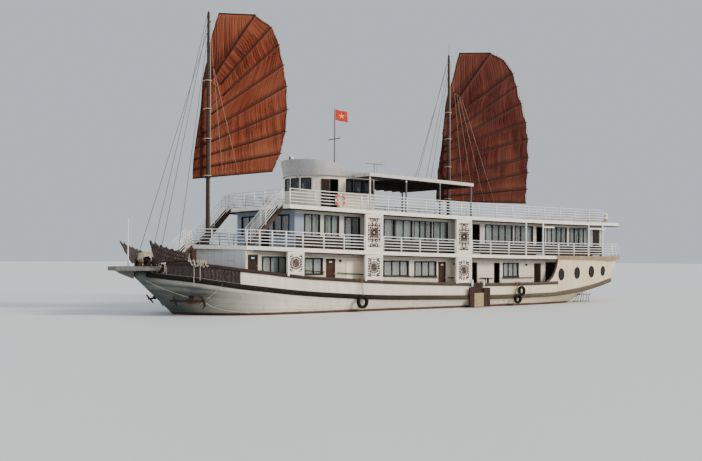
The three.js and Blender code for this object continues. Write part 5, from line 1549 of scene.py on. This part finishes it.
# The lower house's six doors are framed leaves: the fore pair louvred and dark, the others
# panelled in red-brown, each with a small blank plate and a pale knob.
LEAF_PAINT = {
    "fore": finish_material("louvre_paint", worn_timber(
        (0.016, 0.009, 0.007), (0.05, 0.03, 0.024), (0.02, 0.01, 0.008), (0.05, 0.03, 0.02))),
    "red": finish_material("leaf_paint", worn_timber((0.028, 0.012, 0.009), (0.075, 0.032, 0.024))),
}
PLATE_PAINT = finish_material("plate_paint", plain_paint((0.80, 0.80, 0.76), (0.5, 0.46, 0.4), 0.3))
LEAF_BACK, LEAF_FACE = 3.1705, 3.188
DOORS = [("fore", 12.248, 11.612, 0.252), ("middle", 7.008, 6.352, 0.312), ("aft", -1.732, -2.368, 0.312)]
for door, fore, aft, drop in DOORS:
    low, high = main_deck(fore) + 0.115, middle_foot(aft) - drop
    leaf, plate = stores(2)
    for a, b, c, d in ((aft + 0.01, aft + 0.09, low, high), (fore - 0.09, fore - 0.01, low, high),
                       (aft + 0.09, fore - 0.09, low, low + 0.16), (aft + 0.09, fore - 0.09, high - 0.1, high),
                       (aft + 0.09, fore - 0.09, low + 0.72, low + 0.82)):
        add_box(leaf, a, b, LEAF_BACK, LEAF_FACE, c, d)
    if door == "fore":
        for z in np.arange(low + 0.2, high - 0.14, 0.045):
            add_prism(leaf, [(LEAF_BACK, z), (3.182, z - 0.004), (3.182, z + 0.006), (LEAF_BACK, z + 0.026)],
                      aft + 0.09, fore - 0.09, "YZ")
    else:
        for z0, z1 in ((low + 0.2, low + 0.68), (low + 0.86, high - 0.14)):
            add_box(leaf, aft + 0.13, fore - 0.13, LEAF_BACK, 3.179, z0, z1)
    add_box(plate, (fore + aft) / 2 - 0.1, (fore + aft) / 2 + 0.1, LEAF_FACE, 3.193, high - 0.22, high - 0.13)
    add_tube(plate, [(aft + 0.06, LEAF_FACE, low + 0.95), (aft + 0.06, 3.205, low + 0.95)], 0.012, 10)
    add_tube(plate, [(aft + 0.06, 3.205, low + 0.95), (aft + 0.06, 3.215, low + 0.95),
                     (aft + 0.06, 3.225, low + 0.95)],
             0.028, 12, 0.016)
    finish = LEAF_PAINT["fore" if door == "fore" else "red"]
    for side, turn in (("port", 1), ("starboard", -1)):
        body = f"door_{door}_{side}"
        dress(finish, body)
        for store, label, material in ((leaf, "face", finish), (plate, "plate", PLATE_PAINT)):
            vertices = [(x, turn * y, z) for x, y, z in store[0]]
            faces = [face[::turn] for face in store[1]]
            make_piece(f"{body}_{label}", vertices, faces, material, body=body, smooth=False, slot="door_paint")


# Along the lower house's side run a dark handrail on brackets, bulkhead lamps and one pale
# yellow panel; near-black boards at the gallery's after end are painted shade where the passage goes dark.
wall_rail, wall_panel, wall_lamps, shade_boards = stores(4)
for x0, x1 in ((9.6, 7.15), (6.25, -1.6), (-2.5, -4.55), (-5.3, -6.55), (-7.4, -10.45)):
    run = np.linspace(x0, x1, max(2, round((x0 - x1) / 1.1) + 1))
    add_tube(wall_rail, [(x, 3.29, bulwark_cap(x) + 0.3) for x in run], 0.026, 8)
    for x in run:
        x = min(max(x, x1 + 0.05), x0 - 0.05)
        add_tube(wall_rail, [(x, WALL_Y, bulwark_cap(x) + 0.26), (x, 3.29, bulwark_cap(x) + 0.295)], 0.012, 6)
add_box(wall_panel, 4.31, 5.55, WALL_Y, WALL_Y + 0.02, main_deck(5.0) + 0.3, middle_foot(4.9) - 0.4)
for x in (6.0, 3.1, -3.1, -9.8):
    height = middle_foot(x) - 0.42
    add_tube(wall_lamps, [(x, WALL_Y, height), (x, WALL_Y + 0.05, height)], 0.075, 14)
    add_tube(wall_lamps, [(x, WALL_Y + 0.05, height), (x, WALL_Y + 0.08, height), (x, WALL_Y + 0.1, height)], 0.06,
             14, 0.03)
# painted shade: near-black boards on the wall's aft end and the stern house's front face
for x0, x1, y0, y1 in ((-12.27, -11.75, WALL_Y, WALL_Y + 0.015), (-12.29, -12.27, WALL_Y, 3.76)):
    add_box(shade_boards, x0, x1, y0, y1, main_deck(-12.0) + 0.01, middle_foot(-12.0) - 0.24)
add_mirror(wall_rail, wall_panel, wall_lamps, shade_boards)
YELLOW_PAINT = finish_material("yellow_paint", plain_paint((0.95, 0.85, 0.64), (0.66, 0.56, 0.4), 0.45))
make_piece("wall_handrail", *wall_rail, SHADE_TIMBER, slot="rubbing_timber")
make_piece("wall_panels", *wall_panel, YELLOW_PAINT, smooth=False, slot="house_paint", round_off=0.004)
make_piece("wall_lamps", *wall_lamps, SHADE_TIMBER, slot="dark_iron")
make_piece("passage_shade_boards", *shade_boards, FRAME_TIMBER, smooth=False, slot="carved_timber")


# The upper house's front wall has two windows of two panes in dark frames, one each side of its
# doorway, whose jambs are cased in the same timber.
front_frames, front_panes = stores(2)
for y in (1.0, -2.6):
    add_window(front_frames, front_panes, y, y + 1.6, 4.5, 5.6, 2)
for a, b, c, d in ((-0.5, -0.44, 3.8, 5.6), (0.44, 0.5, 3.8, 5.6), (-0.5, 0.5, 5.6, 5.66)):
    add_box(front_frames, a, b, WALL_Y + 0.001, WALL_Y + 0.03, c, d)
for label, store, material, slot in (("frames", front_frames, FRAME_TIMBER, "carved_timber"),
                                     ("glass", front_panes, DARK_GLASS, "blue_white_paint")):
    turned = [(y - WALL_Y + 9.2, x, z) for x, y, z in store[0]]
    make_piece(f"front_{label}", turned, store[1], material, smooth=False, slot=slot)


# A dark grey steel mast on the wheelhouse roof flies the national flag from a halyard; a small
# aerial of thin rods and a whip stand on the awning behind it.
FLAG_X, FLAG_TOP = 4.12, 12.40
FLAG_LENGTH, FLAG_HEIGHT = 1.04, 0.66
STAR_REACH = 0.21


def flag_finish(tree):
    """Red bunting with a five-pointed yellow star worked out from the cloth's own places."""
    uv = split(tree, along_map(tree))
    across = sums(tree, "SUBTRACT", uv["X"], FLAG_LENGTH / 2)
    up = sums(tree, "SUBTRACT", uv["Y"], FLAG_HEIGHT / 2)
    reach = sums(tree, "SQRT", plus(tree, times(tree, across, across), times(tree, up, up)))
    turn = sums(tree, "PINGPONG", sums(tree, "ARCTAN2", across, up), math.pi / 5)
    edge = plus(tree, sums(tree, "COSINE", turn), times(tree, sums(tree, "SINE", turn), 3.078))
    star = sums(tree, "LESS_THAN", times(tree, reach, edge), STAR_REACH)
    place = object_place(tree)
    weave = noise(tree, place, 26.0, 4.0)
    red = blend(tree, weave, (0.42, 0.016, 0.012), (0.60, 0.03, 0.02))
    colour = blend(tree, star, red, (0.80, 0.52, 0.03))
    return surface(tree, colour, 0.85, weave, 0.3, 0.004)


SPAR_GREY = finish_material("spar_grey", plain_paint((0.15, 0.16, 0.18), (0.08, 0.07, 0.06), 0.5, 0.4, 6.0, 0.3))
dress(SPAR_GREY, "flag_mast")
flag_lines, aerials = stores(2)
add_tube(flag_lines, upright(FLAG_X - 0.05, 0.0, 8.5, 10.5, 12.42), 0.006, 6)
for y in (-0.56, 0.56):
    add_tube(flag_lines, [(FLAG_X, y, 10.54), (FLAG_X, y * 0.4, 9.5),
                          (FLAG_X - 0.02, 0.04 if y > 0 else -0.04, 8.5)], 0.005, 6)
flag_lines = make_piece("flag_lines", *flag_lines, PALE_ROPE, slot="mast_timber")
share_u, share_v = np.meshgrid(np.linspace(0, 1, 60), np.linspace(0, 1, 26))
flag_x = FLAG_X - 0.055 - share_u * (FLAG_LENGTH - 0.05)
flag_y = (0.012 + 0.06 * share_u) * np.sin(share_u * 11.0 + share_v * 1.6) - 0.012 * np.sin(1.6 * share_v)
flag_z = FLAG_TOP - share_v * FLAG_HEIGHT - 0.05 * share_u ** 1.5 + 0.012 * np.sin(share_u * 9.0)
flag = make_piece("flag", np.stack([flag_x, flag_y, flag_z], axis=2).reshape(-1, 3), grid_faces(26, 60),
                  finish_material("bunting", flag_finish),
                  uv=np.stack([share_u * FLAG_LENGTH, (1 - share_v) * FLAG_HEIGHT], axis=2).reshape(-1, 2),
                  slot="rail_paint")
AERIAL_FOOT, AERIAL_BOOM = 8.15, 9.2
add_tube(aerials, upright(0.96, 0, AERIAL_FOOT, 9.27), 0.022, 8)
add_tube(aerials, [(0.3, 0, AERIAL_BOOM), (1.6, 0, AERIAL_BOOM)], 0.012, 6)
for k in range(6):
    span = 0.42 - 0.035 * k
    add_tube(aerials, [(0.36 + 0.24 * k, -span, AERIAL_BOOM), (0.36 + 0.24 * k, span, AERIAL_BOOM)], 0.007, 6)
add_tube(aerials, upright(2.58, 2.3, 8.19, 9.1), 0.012, 6, 0.005)
make_piece("aerials", *aerials, SPAR_GREY, slot="rail_paint")


# A searchlight stands on the brow and floodlamps hang below it; each is a painted drum with a
# thick front glass.
lamp_drums, lamp_glass = stores(2)
for x, y, z, radius, length in ((7.25, 0.0, 9.16, 0.13, 0.2), (7.32, 0.75, 8.0, 0.07, 0.1),
                                (7.32, -0.75, 8.0, 0.07, 0.1)):
    add_tube(lamp_drums, [(x, y, z), (x + length * 0.15, y, z), (x + length * 0.5, y, z), (x + length, y, z)],
             radius * 0.8, 16, radius)
    rise = 1 if z < 8.1 else -1
    add_tube(lamp_drums, upright(x + length * 0.5, y, z + rise * radius * 1.2, z + rise * radius * 0.6),
             radius * 0.25, 8)
    add_tube(lamp_glass, [(x + length, y, z), (x + length + 0.006, y, z), (x + length + 0.012, y, z)], radius * 0.9,
             16, radius * 0.5)
make_piece("lamp_drums", *lamp_drums, RAIL_PAINT, slot="house_paint")
make_piece("lamp_glass", *lamp_glass, DARK_GLASS, slot="house_paint")


# The rigging is taut rope: stays forward from each masthead, and halyards with a fan of lines
# over each sail's port face.
STAYS = [
    [(13.07, 0.0, 16.95), (17.0, 0.9, 2.68)],
    [(13.08, 0.0, 15.9), (17.0, -0.9, 2.68)],
    [(13.08, 0.0, 16.4), (16.6, 1.1, 2.68)],
    [(13.09, 0.0, 15.4), (15.7, 1.3, 2.05)],
    [(-5.43, 0.0, 16.8), (-2.58, 0.0, 8.07)],
    [(-5.43, 0.0, 16.5), (-2.05, 0.4, 8.08)],
    [(-5.42, 0.0, 16.1), (-3.1, 0.3, 8.05)],
    [(-5.42, 0.0, 15.6), (-3.65, 0.2, 8.04)],
]
HALYARDS = [(13.0, 16.5, 4.9), (-5.5, 16.4, 7.3)]
SAIL_LINES = {
    "fore_sail": [[(12.8, 16.6), (12.6, 14.0)], [(12.8, 16.6), (12.74, 7.75)], [(12.6, 14.0), (11.94, 7.9)],
                  [(12.6, 14.0), (10.88, 8.0)]],
    "main_sail": [[(-5.72, 16.6), (-5.78, 7.15)], [(-5.72, 16.6), (-6.17, 14.53)], [(-6.17, 14.53), (-6.83, 14.25)],
                  [(-6.17, 14.53), (-7.11, 7.12)], [(-6.4, 14.43), (-8.1, 7.14)],
                  [(-6.62, 14.34), (-9.12, 7.15)], [(-6.83, 14.25), (-10.15, 7.17)]],
}
STAY_ROPE = finish_material("stay_rope", rope_finish((0.17, 0.165, 0.17)))
stays, blocks = stores(2)
for top, foot in STAYS:
    add_tube(stays, [top, tuple((a + b) / 2 for a, b in zip(top, foot)), foot], 0.016, 6)
    add_tube(blocks, upright(foot[0], foot[1], foot[2] - 0.02, foot[2] + 0.2), 0.04, 8)
halyards = ([], [])
for x, head, foot in HALYARDS:
    add_tube(halyards, [(x - 0.09, 0.068, head), (x - 0.1, 0.076, (head + foot) / 2), (x - 0.114, 0.086, foot)],
             0.015, 6)
make_piece("stays", *stays, STAY_ROPE, slot="mast_timber")
make_piece("halyards", *halyards, PALE_ROPE, slot="mast_timber")
make_piece("stay_shackles", *blocks, SHADE_TIMBER, slot="dark_iron")
for body, lines in SAIL_LINES.items():
    ropes, blocks = stores(2)
    for (xa, za), (xb, zb) in lines:
        add_tube(ropes, [(xa, SAIL_Y + 0.17, za), ((xa + xb) / 2, SAIL_Y + 0.165, (za + zb) / 2),
                         (xb, SAIL_Y + 0.12, zb)], 0.012, 6)
    for x, z in {line[0] for line in lines[1:]} | {line[1] for line in lines[2:]}:
        add_tube(blocks, [(x, SAIL_Y + 0.12, z - 0.03), (x, SAIL_Y + 0.16, z), (x, SAIL_Y + 0.2, z + 0.03)], 0.035, 8)
    make_piece(body + "_lines", *ropes, SAIL_ROPE, body=body, slot="mast_timber")
    make_piece(body + "_blocks", *blocks, SHADE_TIMBER, body=body, slot="mast_timber")


# Old road tyres of worn black rubber hang over the side as fenders, each lashed by two ropes
# to the bulwark's cap.
TYRES = [(4.97, 0.6, 0.4), (-8.1, 0.49, 0.32), (-8.46, 1.0, 0.32)]
RUB_FACE = 3.9505
RUBBER = finish_material("rubber", plain_paint((0.010, 0.010, 0.010), (0.05, 0.045, 0.038), 0.85, 0.4, 7.0, 0.15))
tyres, tyre_ropes = stores(2)
for x, z, radius in TYRES:
    first, segments = len(tyres[0]), 60
    section = [(1.0, 0.02), (1.0, 0.15), (0.95, 0.18), (0.84, 0.2), (0.7, 0.188), (0.58, 0.165), (0.55, 0.15),
               (0.57, 0.13), (0.8, 0.12), (0.82, 0.06), (0.57, 0.05), (0.55, 0.02), (0.62, 0.0), (0.94, 0.0)]
    for i in range(segments):
        turn = 2 * math.pi * i / segments
        for reach, out in section:
            size = radius * (reach - (0.035 if i % 3 == 0 and reach > 0.9 else 0.0))
            tyres[0].append((x + size * math.cos(turn), RUB_FACE + out, z + size * math.sin(turn)))
    n = len(section)
    for i in range(segments):
        for k in range(n):
            a, b = first + i * n, first + (i + 1) % segments * n
            tyres[1].append((a + k, a + (k + 1) % n, b + (k + 1) % n, b + k))
    cap = bulwark_cap(x)
    for dx in (-0.05, 0.05):
        add_tube(tyre_ropes, [(x + dx, RUB_FACE + 0.1, z + radius * 0.8), (x + dx, RUB_FACE + 0.21, z + radius * 0.9),
                              (x + dx, RUB_FACE + 0.12, z + radius + 0.04),
                              (x + dx, 3.965, max(cap - 0.3, z + radius + 0.06)),
                              (x + dx, 3.97, cap + 0.03), (x + dx, 3.72, cap + 0.04)], 0.016, 6)
add_mirror(tyres, tyre_ropes)
tyre_fenders = make_piece("tyre_fenders", *tyres, RUBBER, smooth=True, slot="black_rubber")
edge_split = tyre_fenders.modifiers.new("edges", "EDGE_SPLIT")
edge_split.split_angle = math.radians(40)
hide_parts("tyre_fore_port", "tyre_fore_starboard", "tyre_aft_port", "tyre_aft_starboard")
make_piece("tyre_lashings", *tyre_ropes, TAN_ROPE, slot="mast_timber")


# The boarding place amidships has two fender timbers and a plank over a red-brown panel, with
# bollards inside the bulwark.
BOARDING_TIMBER = finish_material("boarding_timber", worn_timber((0.016, 0.009, 0.007), (0.06, 0.032, 0.024)))
PALE_TIMBER = finish_material("pale_timber", worn_timber((0.26, 0.18, 0.09), (0.46, 0.34, 0.20)))
STAINED_TIMBER = finish_material("stained_timber", worn_timber((0.20, 0.12, 0.065), (0.40, 0.28, 0.18)))
# near-black discs for the stern's port glass: painted shade for the dim inside behind it
PORT_SHADE = finish_material("port_shade",
                             plain_paint((0.010, 0.010, 0.011), (0.03, 0.028, 0.026), 0.25, 0.3, 6.0, 0.3))
dress(BOARDING_TIMBER, "boarding_frame_port", "boarding_frame_starboard")
landing, chute, bollards, white_bollards = stores(4)
for x0, x1, low, high, y0, y1 in (
    (-5.28, -4.93, 0.05, 1.27, RUB_FACE, 4.06), (-4.07, -3.86, 0.05, 1.27, RUB_FACE, 4.06),
    (-4.93, -4.72, 0.95, 1.62, 3.9, 3.95), (-4.71, -4.5, 0.95, 1.6, 3.9, 3.96), (-4.49, -4.28, 0.95, 1.62, 3.9, 3.95),
    (-4.27, -4.07, 0.95, 1.6, 3.9, 3.955),
):
    add_box(landing, x0, x1, y0, y1, low, high)
for x in np.arange(-4.92, -4.1, 0.21):
    add_box(chute, x, x + 0.2, 4.022, 4.05, 0.05, 0.94)
for x in (-5.43, -5.72):
    add_tube(bollards, upright(x, 3.62, 0.8, 1.8), 0.075, 14)
    add_tube(bollards, upright(x, 3.62, 1.8, 1.83, 1.9), 0.1, 14, 0.08)
for x in (-5.02, -3.98):
    add_tube(white_bollards, upright(x, 3.95, 1.35, 1.7), 0.07, 14)
    add_tube(white_bollards, upright(x, 3.95, 1.7, 1.74, 1.79), 0.09, 14, 0.05)
add_mirror(landing, chute, bollards, white_bollards)
make_piece("boarding_panels", *landing, BOARDING_TIMBER, smooth=False, slot="fender_timber", round_off=0.004)
make_piece("boarding_chutes", *chute, PALE_TIMBER, smooth=False, slot="fender_timber", round_off=0.006)
make_piece("dark_bollards", *bollards, SHADE_TIMBER, slot="dark_iron")
make_piece("white_bollards", *white_bollards, RAIL_PAINT, slot="rail_paint")


# A lifebuoy hangs on each side of the upper deck: an orange ring with four white bands and a
# grab line.
BUOY_X, BUOY_Z, BUOY_RADIUS, BUOY_FACE = 6.53, 6.47, 0.375, 3.9254


def buoy_finish(tree):
    place = split(tree, object_place(tree))
    turn = sums(tree, "ARCTAN2", sums(tree, "SUBTRACT", place["Z"], BUOY_Z),
                sums(tree, "SUBTRACT", place["X"], BUOY_X))
    near = sums(tree, "PINGPONG", plus(tree, turn, 2.5 * math.pi), math.pi / 4)
    weather = weathered(tree, 9.0, 3.0)
    orange = blend(tree, weather["Mottle"], (0.72, 0.13, 0.02), (0.62, 0.19, 0.06))
    colour = blend(tree, sums(tree, "LESS_THAN", near, 0.2), orange, (0.80, 0.77, 0.70))
    colour = blend(tree, times(tree, weather["Streaks"], 0.3), colour, (0.30, 0.20, 0.13))
    return surface(tree, colour, 0.5, weather["Fine"], 0.3, 0.003)


dress(finish_material("buoy_paint", buoy_finish), "lifebuoy_port", "lifebuoy_starboard")
grab_lines = ([], [])
for quarter in range(4):
    turns = np.linspace(quarter, quarter + 1, 9) * math.pi / 2
    add_tube(grab_lines, [
        (BUOY_X + (BUOY_RADIUS + 0.006 + 0.035 * math.sin(2 * t) ** 2) * math.cos(t), BUOY_FACE,
         BUOY_Z + (BUOY_RADIUS + 0.006 + 0.035 * math.sin(2 * t) ** 2) * math.sin(t)) for t in turns], 0.007, 6)
add_mirror(grab_lines)
make_piece("grab_lines", *grab_lines, PALE_ROPE, slot="buoy_shell")


# Rusted stock anchors are lashed along the flare of the bow, with their lines made fast at the
# stem, the bulwark's cap and along the planking.
def rust_finish(tree):
    place = object_place(tree)
    patches = noise(tree, place, 7.0, 9.0, 0.7)
    pits = noise(tree, place, 60.0, 4.0)
    colour = blend(tree, band_mask(tree, patches, 0.46, 0.68), (0.011, 0.008, 0.007), (0.07, 0.027, 0.014))
    colour = blend(tree, times(tree, pits, 0.25), colour, (0.10, 0.042, 0.022))
    height = plus(tree, patches, times(tree, pits, 0.5))
    return surface(tree, colour, 0.85, height, 0.6, 0.012, metal=0.15)


RUSTED_IRON = finish_material("rusted_iron", rust_finish)
dress(RUSTED_IRON, "anchor_port", "anchor_starboard")


def beside_hull(x, z, out):
    """A place outside the hull's port planking, from the nearest of its own points."""
    points = hull_rows.reshape(-1, 3)
    gap = (points[:, 0] - x) ** 2 + (points[:, 2] - z) ** 2
    near = np.argsort(gap)[:4]
    weight = 1 / (gap[near] + 1e-4)
    return (x, float((points[near, 1] * weight).sum() / weight.sum()) + out, z)


anchor_lines, hanks, tangle = stores(3)
for places in ([(17.0, 1.9, 0.03), (16.3, 1.5, 0.05), (15.65, 1.2, 0.08), (14.95, 0.9, 0.18)],
               [(14.5, 0.75, 0.2), (14.1, 0.52, 0.1), (13.6, 0.35, 0.045), (12.9, 0.22, 0.035), (12.2, 0.15, 0.03)],
               [(14.62, 0.62, 0.16), (14.3, 1.2, 0.08), (14.1, 1.6, 0.05), (14.0, 1.74, 0.09)]):
    line = through_points([beside_hull(*place) for place in places], 5)
    add_tube(anchor_lines, line, 0.02, 6)
coil = []
for k in range(64):
    turn = k * 2 * math.pi / 11
    reach = 0.19 + 0.05 * math.sin(k * 1.3)
    coil.append(beside_hull(15.0 + reach * math.cos(turn), 0.78 + reach * math.sin(turn),
                            0.2 + 0.03 * math.sin(k * 0.9)))
add_tube(tangle, coil, 0.022, 6)
for k in range(7):
    centre = 14.75 + 0.11 * k
    loop = []
    for t in np.linspace(0, 2 * math.pi, 15):
        rise = 0.03 + 0.12 * math.sin(t) - (0.16 + 0.04 * (k % 3)) * (math.cos(t) > 0) * math.cos(t)
        loop.append(off_edge(centre + 0.06 * math.sin(t + k), 0.06 + 0.09 * math.cos(t), bulwark_cap(centre) + rise))
    add_tube(hanks, loop, 0.02, 6)
for x, low in ((15.3, 1.63), (15.04, 2.0)):
    add_tube(hanks, [off_edge(x, 0.0, bulwark_cap(x) + 0.03), off_edge(x, 0.09, bulwark_cap(x) - 0.02),
                     off_edge(x, 0.07, main_deck(x) + 0.1), off_edge(x, 0.15, main_deck(x) - 0.12),
                     off_edge(x - 0.02, 0.15, low)], 0.018, 6)
add_mirror(anchor_lines, hanks, tangle)
make_piece("anchor_lines", *anchor_lines, PALE_ROPE, slot="mast_timber")
make_piece("rope_hanks", *hanks, PALE_ROPE, slot="mast_timber")
make_piece("anchor_tangle", *tangle, TAN_ROPE, slot="mast_timber")


# A hand windlass stands on the bow platform: a timber barrel with iron bands between two
# cheeks, with the anchor warp turned round it.
WINDLASS_X, WINDLASS_Z = 16.95, 3.02
windlass, windlass_bands, warp = stores(3)
add_tube(windlass, [(WINDLASS_X, -0.62, WINDLASS_Z), (WINDLASS_X, 0.62, WINDLASS_Z)], 0.12, 16)
for y in (-0.56, 0.5):
    add_prism(windlass, [(16.72, 2.672), (17.18, 2.672), (17.05, 3.24), (16.85, 3.24)], y, y + 0.07)
for y in (-0.72, 0.62):
    add_tube(windlass_bands, [(WINDLASS_X, y, WINDLASS_Z), (WINDLASS_X, y + 0.1, WINDLASS_Z)], 0.15, 16)
for turn in np.arange(0.3, 2 * math.pi, math.pi / 2):
    dx, dz = 0.42 * math.cos(turn), 0.42 * math.sin(turn)
    add_tube(windlass_bands, [(WINDLASS_X, 0.67, WINDLASS_Z), (WINDLASS_X + dx * 0.8, 0.67, WINDLASS_Z + dz * 0.8)],
             0.022, 8)
add_tube(warp, [(WINDLASS_X + 0.145 * math.cos(t), -0.36 + 0.0068 * t * 2.6, WINDLASS_Z + 0.145 * math.sin(t))
                for t in np.linspace(0, 2 * math.pi * 7, 110)], 0.024, 6)
make_piece("windlass", *windlass, BOARDING_TIMBER, smooth=False, slot="carved_timber", round_off=0.006)
make_piece("windlass_bands", *windlass_bands, RUSTED_IRON, slot="dark_iron")
make_piece("windlass_warp", *warp, PALE_ROPE, slot="mast_timber")


# A tan canvas cover lies over the windlass's port end, and a carved post with a turned cap
# stands behind each wing.
def canvas_cover_finish(tree):
    place = object_place(tree)
    weave = noise(tree, place, 70.0, 3.0)
    stain = noise(tree, place, 3.0, 6.0)
    colour = blend(tree, band_mask(tree, stain, 0.35, 0.68), (0.52, 0.41, 0.29), (0.30, 0.22, 0.15))
    return surface(tree, colour, 0.9, weave, 0.4, 0.003)


COVER_TOP, COVER_SHOULDER = 0.62, 0.72
cover_run, cover_side = np.meshgrid(np.linspace(-1, 1, 41), np.linspace(0, 1, 33))
cover_drop = np.clip(np.abs(cover_run) - COVER_TOP, 0, None)
cover_end = np.clip(cover_side - COVER_SHOULDER, 0, None)
cover_x = WINDLASS_X + np.sign(cover_run) * (np.minimum(np.abs(cover_run), COVER_TOP) * 0.62 + cover_drop * 0.16)
cover_y = 0.3 + np.minimum(cover_side, COVER_SHOULDER) * 0.8 + cover_end * (0.2 + 0.04 * np.sin(cover_run * 13.0))
cover_z = 3.44 - 0.1 * np.abs(cover_run) - 0.62 * cover_drop - 0.75 * cover_end
cover_z += 0.008 * np.sin(cover_side * 19.0 + cover_run * 4.0)
cover = make_piece("windlass_cover", np.stack([cover_x, cover_y, cover_z], axis=2).reshape(-1, 3), grid_faces(33, 41),
                   finish_material("cover_canvas", canvas_cover_finish), slot="mast_timber")
posts = ([], [])
add_box(posts, 15.0, 15.26, 2.22, 2.46, 2.1, 3.5)
add_box(posts, 14.97, 15.29, 2.19, 2.49, 3.5, 3.56)
add_tube(posts, upright(15.13, 2.34, 3.56, 3.6, 3.66), 0.1, 14, 0.04)
add_mirror(posts)
make_piece("wing_posts", *posts, LEAF_PAINT["red"], smooth=False, slot="carved_timber", round_off=0.008)


# The stern has a stained band along the deck's edge, four oval ports in rims of bare timber whose
# glass is opaque near black as painted shade for the dim inside, a boarding ladder lashed to its counter and a raft
# canister above.
ports, port_glass, stain_band = stores(3)
PORTS = [(-12.66, 2.07, 1.0), (-14.34, 2.16, 1.0), (-15.95, 2.24, 1.0), (-17.35, 2.28, 0.85)]


def stern_side(x, z):
    """Half the stern house's breadth at a place along it and a height."""
    aft, half = [], []
    for share in np.linspace(0, 1, 60):
        foot, head = stern_place(share, 0.0), stern_place(share, 1.0)
        rise = (z - foot[2]) / (head[2] - foot[2])
        aft.append(-foot[0] - (head[0] - foot[0]) * rise)
        half.append(foot[1])
    return float(np.interp(-x, aft, half))


for x, z, size in PORTS:
    for store, outer, inner, y0, y1 in ((ports, 0.3, 0.225, 0.001, 0.035), (port_glass, 0.228, None, 0.001, 0.014)):
        first, turns = len(store[0]), 28
        rings = [(outer, y0), (outer, y1)] + ([(inner, y1), (inner, y0)] if inner else [])
        for reach, out in rings:
            for k in range(turns):
                t = 2 * math.pi * k / turns
                px, pz = x + size * reach * math.cos(t), z + size * (reach + 0.12) * math.sin(t)
                store[0].append((px, stern_side(px, pz) + out, pz))
        n = len(rings)
        for r in range(n if inner else n - 1):
            for k in range(turns):
                a, b = first + r * turns, first + (r + 1) % n * turns
                store[1].append((a + k, a + (k + 1) % turns, b + (k + 1) % turns, b + k))
        if not inner:
            add_caps(store[1], first, first + turns, turns)
add_run(stain_band, -12.1, -18.19, middle_foot, -0.01, 0.215, 3.901, 3.918)
first = len(stain_band[0])
for y0 in (0.0, 0.02):
    for x, y, rise in ((-18.19, 3.901, -0.01), (-19.34, 3.655, -0.01), (-19.34, 3.655, 0.215),
                       (-18.19, 3.901, 0.215)):
        stain_band[0].append((x - y0 * 0.2, y + y0, middle_foot(x) + rise))
stain_band[1].extend(tuple(first + k for k in face) for face in (
    (0, 1, 2, 3), (7, 6, 5, 4), (0, 4, 5, 1), (1, 5, 6, 2), (2, 6, 7, 3), (3, 7, 4, 0)))
add_mirror(ports, port_glass, stain_band)
make_piece("port_rims", *ports, BATTEN_CANE, slot="hull_paint", round_off=0.004)
make_piece("port_glass", *port_glass, PORT_SHADE, smooth=False, slot="hull_paint")
make_piece("stain_band", *stain_band, STAINED_TIMBER, smooth=False, slot="house_paint")
side_ladder, canister, canister_straps = stores(3)
for z in (0.1, 0.6):
    add_tube(side_ladder, [beside_hull(x, z, 0.09) for x in np.linspace(-16.4, -15.0, 6)], 0.03, 8)
for x in np.linspace(-16.3, -15.1, 6):
    add_tube(side_ladder, [beside_hull(x, 0.05, 0.1), beside_hull(x, 0.65, 0.08)], 0.022, 8)
add_mirror(side_ladder)
make_piece("side_ladder", *side_ladder, SPAR_GREY, slot="rail_paint")
CANISTER = (-18.07, 3.3)
raft_foot = sun_top(CANISTER[0])
add_tube(canister, [(*CANISTER, raft_foot + z) for z in (0.04, 0.1)], 0.17, 20, 0.21)
add_tube(canister, [(*CANISTER, raft_foot + z) for z in (0.1, 0.62)], 0.21, 20)
add_tube(canister, [(*CANISTER, raft_foot + z) for z in (0.62, 0.68, 0.73)], 0.21, 20, 0.08)
for z in (0.2, 0.5):
    add_tube(canister_straps, [(*CANISTER, raft_foot + z), (*CANISTER, raft_foot + z + 0.035)], 0.216, 20)
make_piece("raft_canister", *canister, YELLOW_PAINT, slot="house_paint")
make_piece("raft_straps", *canister_straps, SHADE_TIMBER, slot="black_rubber")


# The screw is cast bronze, dull and stained green from lying in the water; it is keyed to
# the shaft that comes out of the skeg.
def bronze_finish(tree):
    place = object_place(tree)
    stain = noise(tree, place, 9.0, 7.0)
    colour = blend(tree, band_mask(tree, stain, 0.42, 0.66), (0.38, 0.24, 0.09), (0.10, 0.15, 0.10))
    return surface(tree, colour, 0.45, stain, 0.3, 0.006, metal=0.75)


dress(finish_material("screw_bronze", bronze_finish), "propeller")
